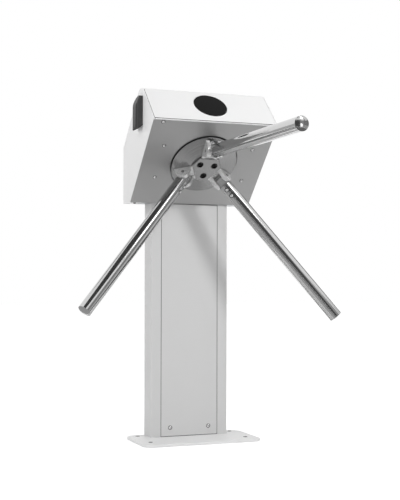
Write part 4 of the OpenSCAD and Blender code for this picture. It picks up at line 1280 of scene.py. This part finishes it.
@dataclass
class Arm:
    """One arm: tongue on the hinge pin, polished tube, domed cap, two screws on washers rimmed with painted
    shade.
    """

    places: Places
    name: str
    cone: float = 45.8
    tube_r: float = 19.0
    wall: float = 1.5
    start: float = 18.5
    length: float = 518.0
    cap_rise: float = 4.0
    cap_plug: float = 18.0
    tongue_w: float = 23.0
    tongue_r: float = 14.4
    neck: float = 20.0
    plug: float = 44.0
    pin_r: float = 5.05
    screws: tuple[float, float] = (33.5, 54.5)
    screw_r: float = 4.8
    screw_h: float = 2.8
    drive_r: float = 1.6
    shade_washer_past: float = 1.7
    play: float = 0.1

    @property
    def place(self) -> Matrix:
        """The arm's own frame."""
        return self.places.arm(self.name, self.cone)

    def tube(self) -> None:
        """The tube, with its rims broken."""
        r, w, end = self.tube_r, self.wall, self.length - self.cap_rise
        start = self.start
        profile = rounded([(r - w, start, 0.3), (r, start, 0.5), (r, end, 0.3), (r - w, end, 0.3)], 3)
        show(f"arm_tube_polished_{self.name}", lathe(profile, 128), POLISHED_TUBE, f"arm_{self.name}",
             self.place, [f"arm_tube_{self.name}"])

    def tongue(self) -> None:
        """The tongue: an eye on the pin, a square neck and a plug in the tube."""
        half = self.tongue_w / 2
        turns = [math.radians(t) for t in range(90, 271, 6)]
        eye = [(self.tongue_r * math.cos(t), self.tongue_r * math.sin(t)) for t in turns]
        n = self.neck / 2
        loop = eye + [(self.start + 1, -n), (self.start + 1, n)]
        blade = slab(free_outline(loop), -half, half, 1.4, steps=4)
        blade = placed(carve(blade, bore(self.pin_r, half)), turned(90, "X") @ turned(90, "Z"))
        r = self.tube_r - self.wall - self.play
        z0, z1 = self.start, self.start + self.plug
        plug = lathe(rounded([(0, z0, 0), (r, z0, 0.5), (r, z1, 0.5), (0, z1, 0)], 3), 96)
        show(f"arm_tongue_machined_{self.name}", carve(blade, plug, Cut.JOINED), MACHINED_TONGUE,
             f"arm_{self.name}", self.place, [f"arm_tongue_{self.name}"])

    def cap(self) -> None:
        """The end cap: a spun dome over a plug, with a fine joint line at the tube."""
        r, joint = self.tube_r, self.length - self.cap_rise
        arc = [(x, joint + z) for x, z in dome(r, self.cap_rise, 10)[1:-1]]
        inner, foot = r - self.wall - self.play, joint - self.cap_plug
        profile = [(0, self.length), *arc, (r, joint + 0.15), (r - 0.25, joint), (inner, joint),
                   (inner, foot), (0, foot)]
        show(f"arm_cap_domed_{self.name}", lathe(profile, 128), POLISHED_CAP, f"arm_{self.name}",
             self.place, [f"arm_cap_{self.name}"])

    def root_screws(self) -> None:
        """Two small domed screws through the tube into the plug, each on a black washer whose rim is painted
        shade.
        """
        spots = [at(-self.tube_r, 0, z) @ turned(-90, "Y") for z in self.screws]
        head = screw_head(self.screw_r, self.screw_h, self.drive_r)
        heads = placed(head, *[spot @ at(z=0.2) for spot in spots])
        show(f"arm_dome_screws_{self.name}", heads, FASTENER, f"arm_{self.name}",
             self.place, [f"arm_screws_{self.name}"])
        # Each washer's black rim past the head is a ring of painted shade round the screw
        shade_washers = placed(shade_washer(self.screw_r + self.shade_washer_past, 0.3, -1.6), *spots)
        show(f"arm_screw_washers_{self.name}", shade_washers, BLACK_OXIDE_AND_SHADE, f"arm_{self.name}",
             self.place)

    def build(self) -> None:
        """Builds the arm from its tongue outward."""
        self.tongue()
        self.tube()
        self.cap()
        self.root_screws()


@dataclass
class Studio:
    """Camera, lamps, floor and the cards, out of view, that polished steel reflects."""

    azimuth: float = -21.31
    pitch: float = -1.45
    roll: float = 0.11
    focal_px: float = 1044.13
    frame_px: tuple[int, int] = (400, 500)
    position_mm: tuple[float, float, float] = (-1094.4, -2856.3, 476.8)
    sensor_mm: float = 36.0
    surround: float = 0.5
    floor_lift: float = 0.6
    floor_half: float = 14.0
    floor_drop: float = 0.0006
    lamp_aim: tuple[float, float, float] = (0.0, -0.1, 0.6)

    def camera(self) -> None:
        """Sets the camera where the photograph was taken from."""
        a, e, r = (math.radians(v) for v in (self.azimuth, self.pitch, self.roll))
        back = Vector((math.sin(a) * math.cos(e), -math.cos(a) * math.cos(e), math.sin(e)))
        right = Vector((math.cos(a), math.sin(a), 0.0))
        up = back.cross(right)
        turned_right = math.cos(r) * right + math.sin(r) * up
        data = bpy.data.cameras.new("camera")
        data.sensor_fit = "VERTICAL"
        data.sensor_height = self.sensor_mm
        data.sensor_width = self.sensor_mm
        data.lens = self.focal_px * self.sensor_mm / self.frame_px[1]
        data.clip_start, data.clip_end = 0.1, 60.0
        camera = linked("camera", data)
        camera.matrix_world = Places.frame(Vector(self.position_mm) * MM, turned_right, back)
        bpy.context.scene.camera = camera

    @staticmethod
    def seen_or_mirrored(tree: bpy.types.NodeTree) -> bpy.types.NodeSocket:
        """A value that is 1 for what the camera sees, directly, in a reflection or through glass, else 0."""
        path = add_node(tree, "ShaderNodeLightPath")
        seen = add_node(tree, "ShaderNodeMath", {"operation": "MAXIMUM"},
                        {0: path.outputs["Is Camera Ray"], 1: path.outputs["Is Glossy Ray"]})
        return add_node(tree, "ShaderNodeMath", {"operation": "MAXIMUM"},
                        {0: seen.outputs[0], 1: path.outputs["Is Transmission Ray"]}).outputs[0]

    def world(self) -> None:
        """A soft grey-white surround that shows as plain white behind the object and in what it reflects."""
        world = bpy.data.worlds.new("surround")
        bpy.context.scene.world = world
        tree = emptied(world)
        strength = add_node(tree, "ShaderNodeMapRange", {"To Min": self.surround, "To Max": 1.0},
                            {"Value": self.seen_or_mirrored(tree)})
        light = add_node(tree, "ShaderNodeBackground", {"Color": (1, 1, 1, 1)},
                         {"Strength": strength.outputs[0]})
        add_node(tree, "ShaderNodeOutputWorld", links={"Surface": light.outputs[0]})

    def lamp(self, name: str, spot: Sequence[float], size: float, watts: float) -> None:
        """A square area lamp that faces the object's middle; no reflection shows it.

        Args:
            name: its name.
            spot: where it hangs, in metres.
            size: its side, in metres.
            watts: its power.
        """
        data = bpy.data.lights.new(name, "AREA")
        data.shape, data.size, data.energy = "SQUARE", size, watts
        lamp = linked(name, data)
        lamp.location = spot
        lamp.rotation_mode = "QUATERNION"
        lamp.rotation_quaternion = (Vector(self.lamp_aim) - Vector(spot)).to_track_quat("-Z", "Y")
        lamp.visible_glossy = False

    def floor(self) -> None:
        """A pale floor that meets the white surround and keeps the object's soft shadow."""
        mesh = bmesh.new()
        bmesh.ops.create_grid(mesh, x_segments=1, y_segments=1, size=self.floor_half)
        floor = as_object("floor", mesh)
        floor.location = (0, 0, -self.floor_drop)
        material = bpy.data.materials.new("pale_floor")
        tree = emptied(material)
        lift = add_node(tree, "ShaderNodeMath", {"operation": "MULTIPLY", 1: self.floor_lift},
                        {0: self.seen_or_mirrored(tree)})
        matt = add_node(tree, "ShaderNodeBsdfDiffuse", {"Color": linear("#F4F4F4")})
        glow = add_node(tree, "ShaderNodeEmission", {"Color": (1, 1, 1, 1)}, {"Strength": lift.outputs[0]})
        both = add_node(tree, "ShaderNodeAddShader", links={0: matt.outputs[0], 1: glow.outputs[0]})
        add_node(tree, "ShaderNodeOutputMaterial", links={"Surface": both.outputs[0]})
        floor.data.materials.append(material)

    def card(self, name: str, low: Sequence[float], high: Sequence[float], colour: str = "#FFFFFF",
             strength: float = 1.0) -> None:
        """A flat card out of view, square to the axes, that only glossy surfaces show.

        Args:
            name: its name.
            low: its lowest corner, in metres.
            high: its highest corner, with one coordinate the same.
            colour: its sRGB colour.
            strength: how brightly it glows, where 1 is its plain colour.
        """
        a, b = [axis for axis in range(3) if low[axis] != high[axis]]
        mesh = bmesh.new()
        verts = []
        for i, j in ((0, 0), (1, 0), (1, 1), (0, 1)):
            spot = list(low)
            spot[a], spot[b] = (low, high)[i][a], (low, high)[j][b]
            verts.append(mesh.verts.new(spot))
        mesh.faces.new(verts)
        card = as_object(name, mesh)
        material = bpy.data.materials.new(name)
        tree = emptied(material)
        glow = add_node(tree, "ShaderNodeEmission", {"Color": linear(colour), "Strength": strength})
        add_node(tree, "ShaderNodeOutputMaterial", links={"Surface": glow.outputs[0]})
        card.data.materials.append(material)
        card.visible_camera = card.visible_diffuse = card.visible_shadow = False
        card.visible_transmission = card.visible_volume_scatter = False

    def build(self) -> None:
        """Builds the studio."""
        self.camera()
        self.world()
        self.floor()
        self.lamp("key", (1.25, -2.3, 2.5), 0.5, 43.0)
        self.lamp("side", (-3.2, -0.6, 1.6), 2.2, 38.0)
        cards = {
            "behind_camera": ((-4.5, -4.6, 0.1), (1.1, -4.6, 3.0), "#525252"),
            "beside_camera": ((1.1, -4.6, 0.1), (3.2, -4.6, 3.0), "#A0A0A0"),
            "ceiling": ((-1.45, -3.3, 3.3), (0.55, 0.5, 3.3), "#464646"),
            "ceiling_back": ((-1.95, 1.7, 3.3), (-0.95, 2.6, 3.3), "#505050"),
            "back_low": ((-1.7, 2.6, 0.3), (-0.7, 2.6, 1.3), "#A5A5A5"),
            "right_front": ((3.2, -4.6, 0.9), (3.2, -3.0, 3.1), "#8A8A8A"),
            "right_wall": ((3.2, -2.98, 0.9), (3.2, -0.6, 2.4), "#8A8A8A"),
            "right_low_front": ((3.2, -4.6, 0.0), (3.2, -2.0, 0.88), "#B6B6B6"),
            "right_low_middle": ((3.2, -1.99, 0.0), (3.2, -0.9, 0.88), "#D6D6D6"),
            "right_low_back": ((3.2, -0.89, 0.0), (3.2, 0.4, 0.88), "#B6B6B6"),
            "right_back": ((2.4, 0.5, 0.0), (2.4, 3.2, 2.4), "#6A6A6A"),
            "floor_near": ((-3.0, -1.1, 0.001), (0.75, -0.42, 0.001), "#B0B0B0"),
            "floor_mid": ((-3.0, -1.7, 0.001), (1.6, -1.12, 0.001), "#A0A0A0"),
            "floor_far": ((-4.5, -4.6, 0.001), (3.0, -1.72, 0.001), "#787878"),
            "back_low_left": ((-2.3, 2.6, 0.0), (-1.72, 2.6, 1.2), "#BEBEBE"),
            "floor_behind_left": ((-1.4, -0.4, 0.001), (-0.42, 1.4, 0.001), "#B4B4B4"),
            "floor_left": ((-0.4, -0.4, 0.001), (0.02, 0.5, 0.001), "#D8D8D8"),
            "floor_under": ((0.02, -0.4, 0.001), (0.26, 0.5, 0.001), "#B2B2B2"),
            "floor_right": ((0.26, -0.4, 0.001), (1.3, 0.5, 0.001), "#DCDCDC"),
            "floor_side": ((1.31, -1.7, 0.001), (3.2, 0.9, 0.001), "#606060"),
            "floor_back": ((-1.5, 1.5, 0.001), (0.7, 2.5, 0.001), "#707070"),
            "left_wall": ((-3.2, -2.0, 0.3), (-3.2, 2.4, 2.4), "#A0A0A0"),
        }
        for name, (low, high, colour) in cards.items():
            self.card(f"card_{name}", low, high, colour)
        # Three brighter cards for highlights, one where the key lamp hangs, since no reflection shows a lamp
        glows = {
            "key_glow": ((0.9, -2.4, 2.3), (1.5, -2.4, 2.75), 9.0),
            "side_glow": ((1.25, -4.55, 0.3), (2.3, -4.55, 1.4), 3.0),
            "floor_glow": ((0.85, -0.95, 0.002), (1.25, -0.55, 0.002), 2.2),
        }
        for name, (low, high, strength) in glows.items():
            self.card(f"card_{name}", low, high, strength=strength)
        LOG.info("studio: camera, surround, floor, two lamps and %d cards", len(cards) + len(glows))


def dress_carried(nodes: dict[str, bpy.types.Object]) -> None:
    """Gives every carried-over node its finish.

    Args:
        nodes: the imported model's nodes.
    """
    for finish, names in CARRIED.items():
        for name in names:
            slots = nodes[name].data.materials
            slots.clear()
            slots.append(finish.build())
    LOG.info("carried-over nodes: %d", sum(len(names) for names in CARRIED.values()))


def main() -> None:
    """Builds the studio, then the turnstile from the floor up."""
    logging.basicConfig(level=logging.INFO, format="%(message)s")
    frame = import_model()
    bpy.context.scene.view_settings.view_transform = "Standard"
    places = Places({joint["name"]: joint for joint in frame["joints"]})
    Studio().build()
    dress_carried(frame["nodes"])
    Column(places).build()
    Head(places).build()
    for side in ("left", "right"):
        SignalModule(places, side).build()
    Hub(places).build()
    for name in ("top", "left", "right"):
        Arm(places, name).build()


if __name__ == "__main__":
    main()
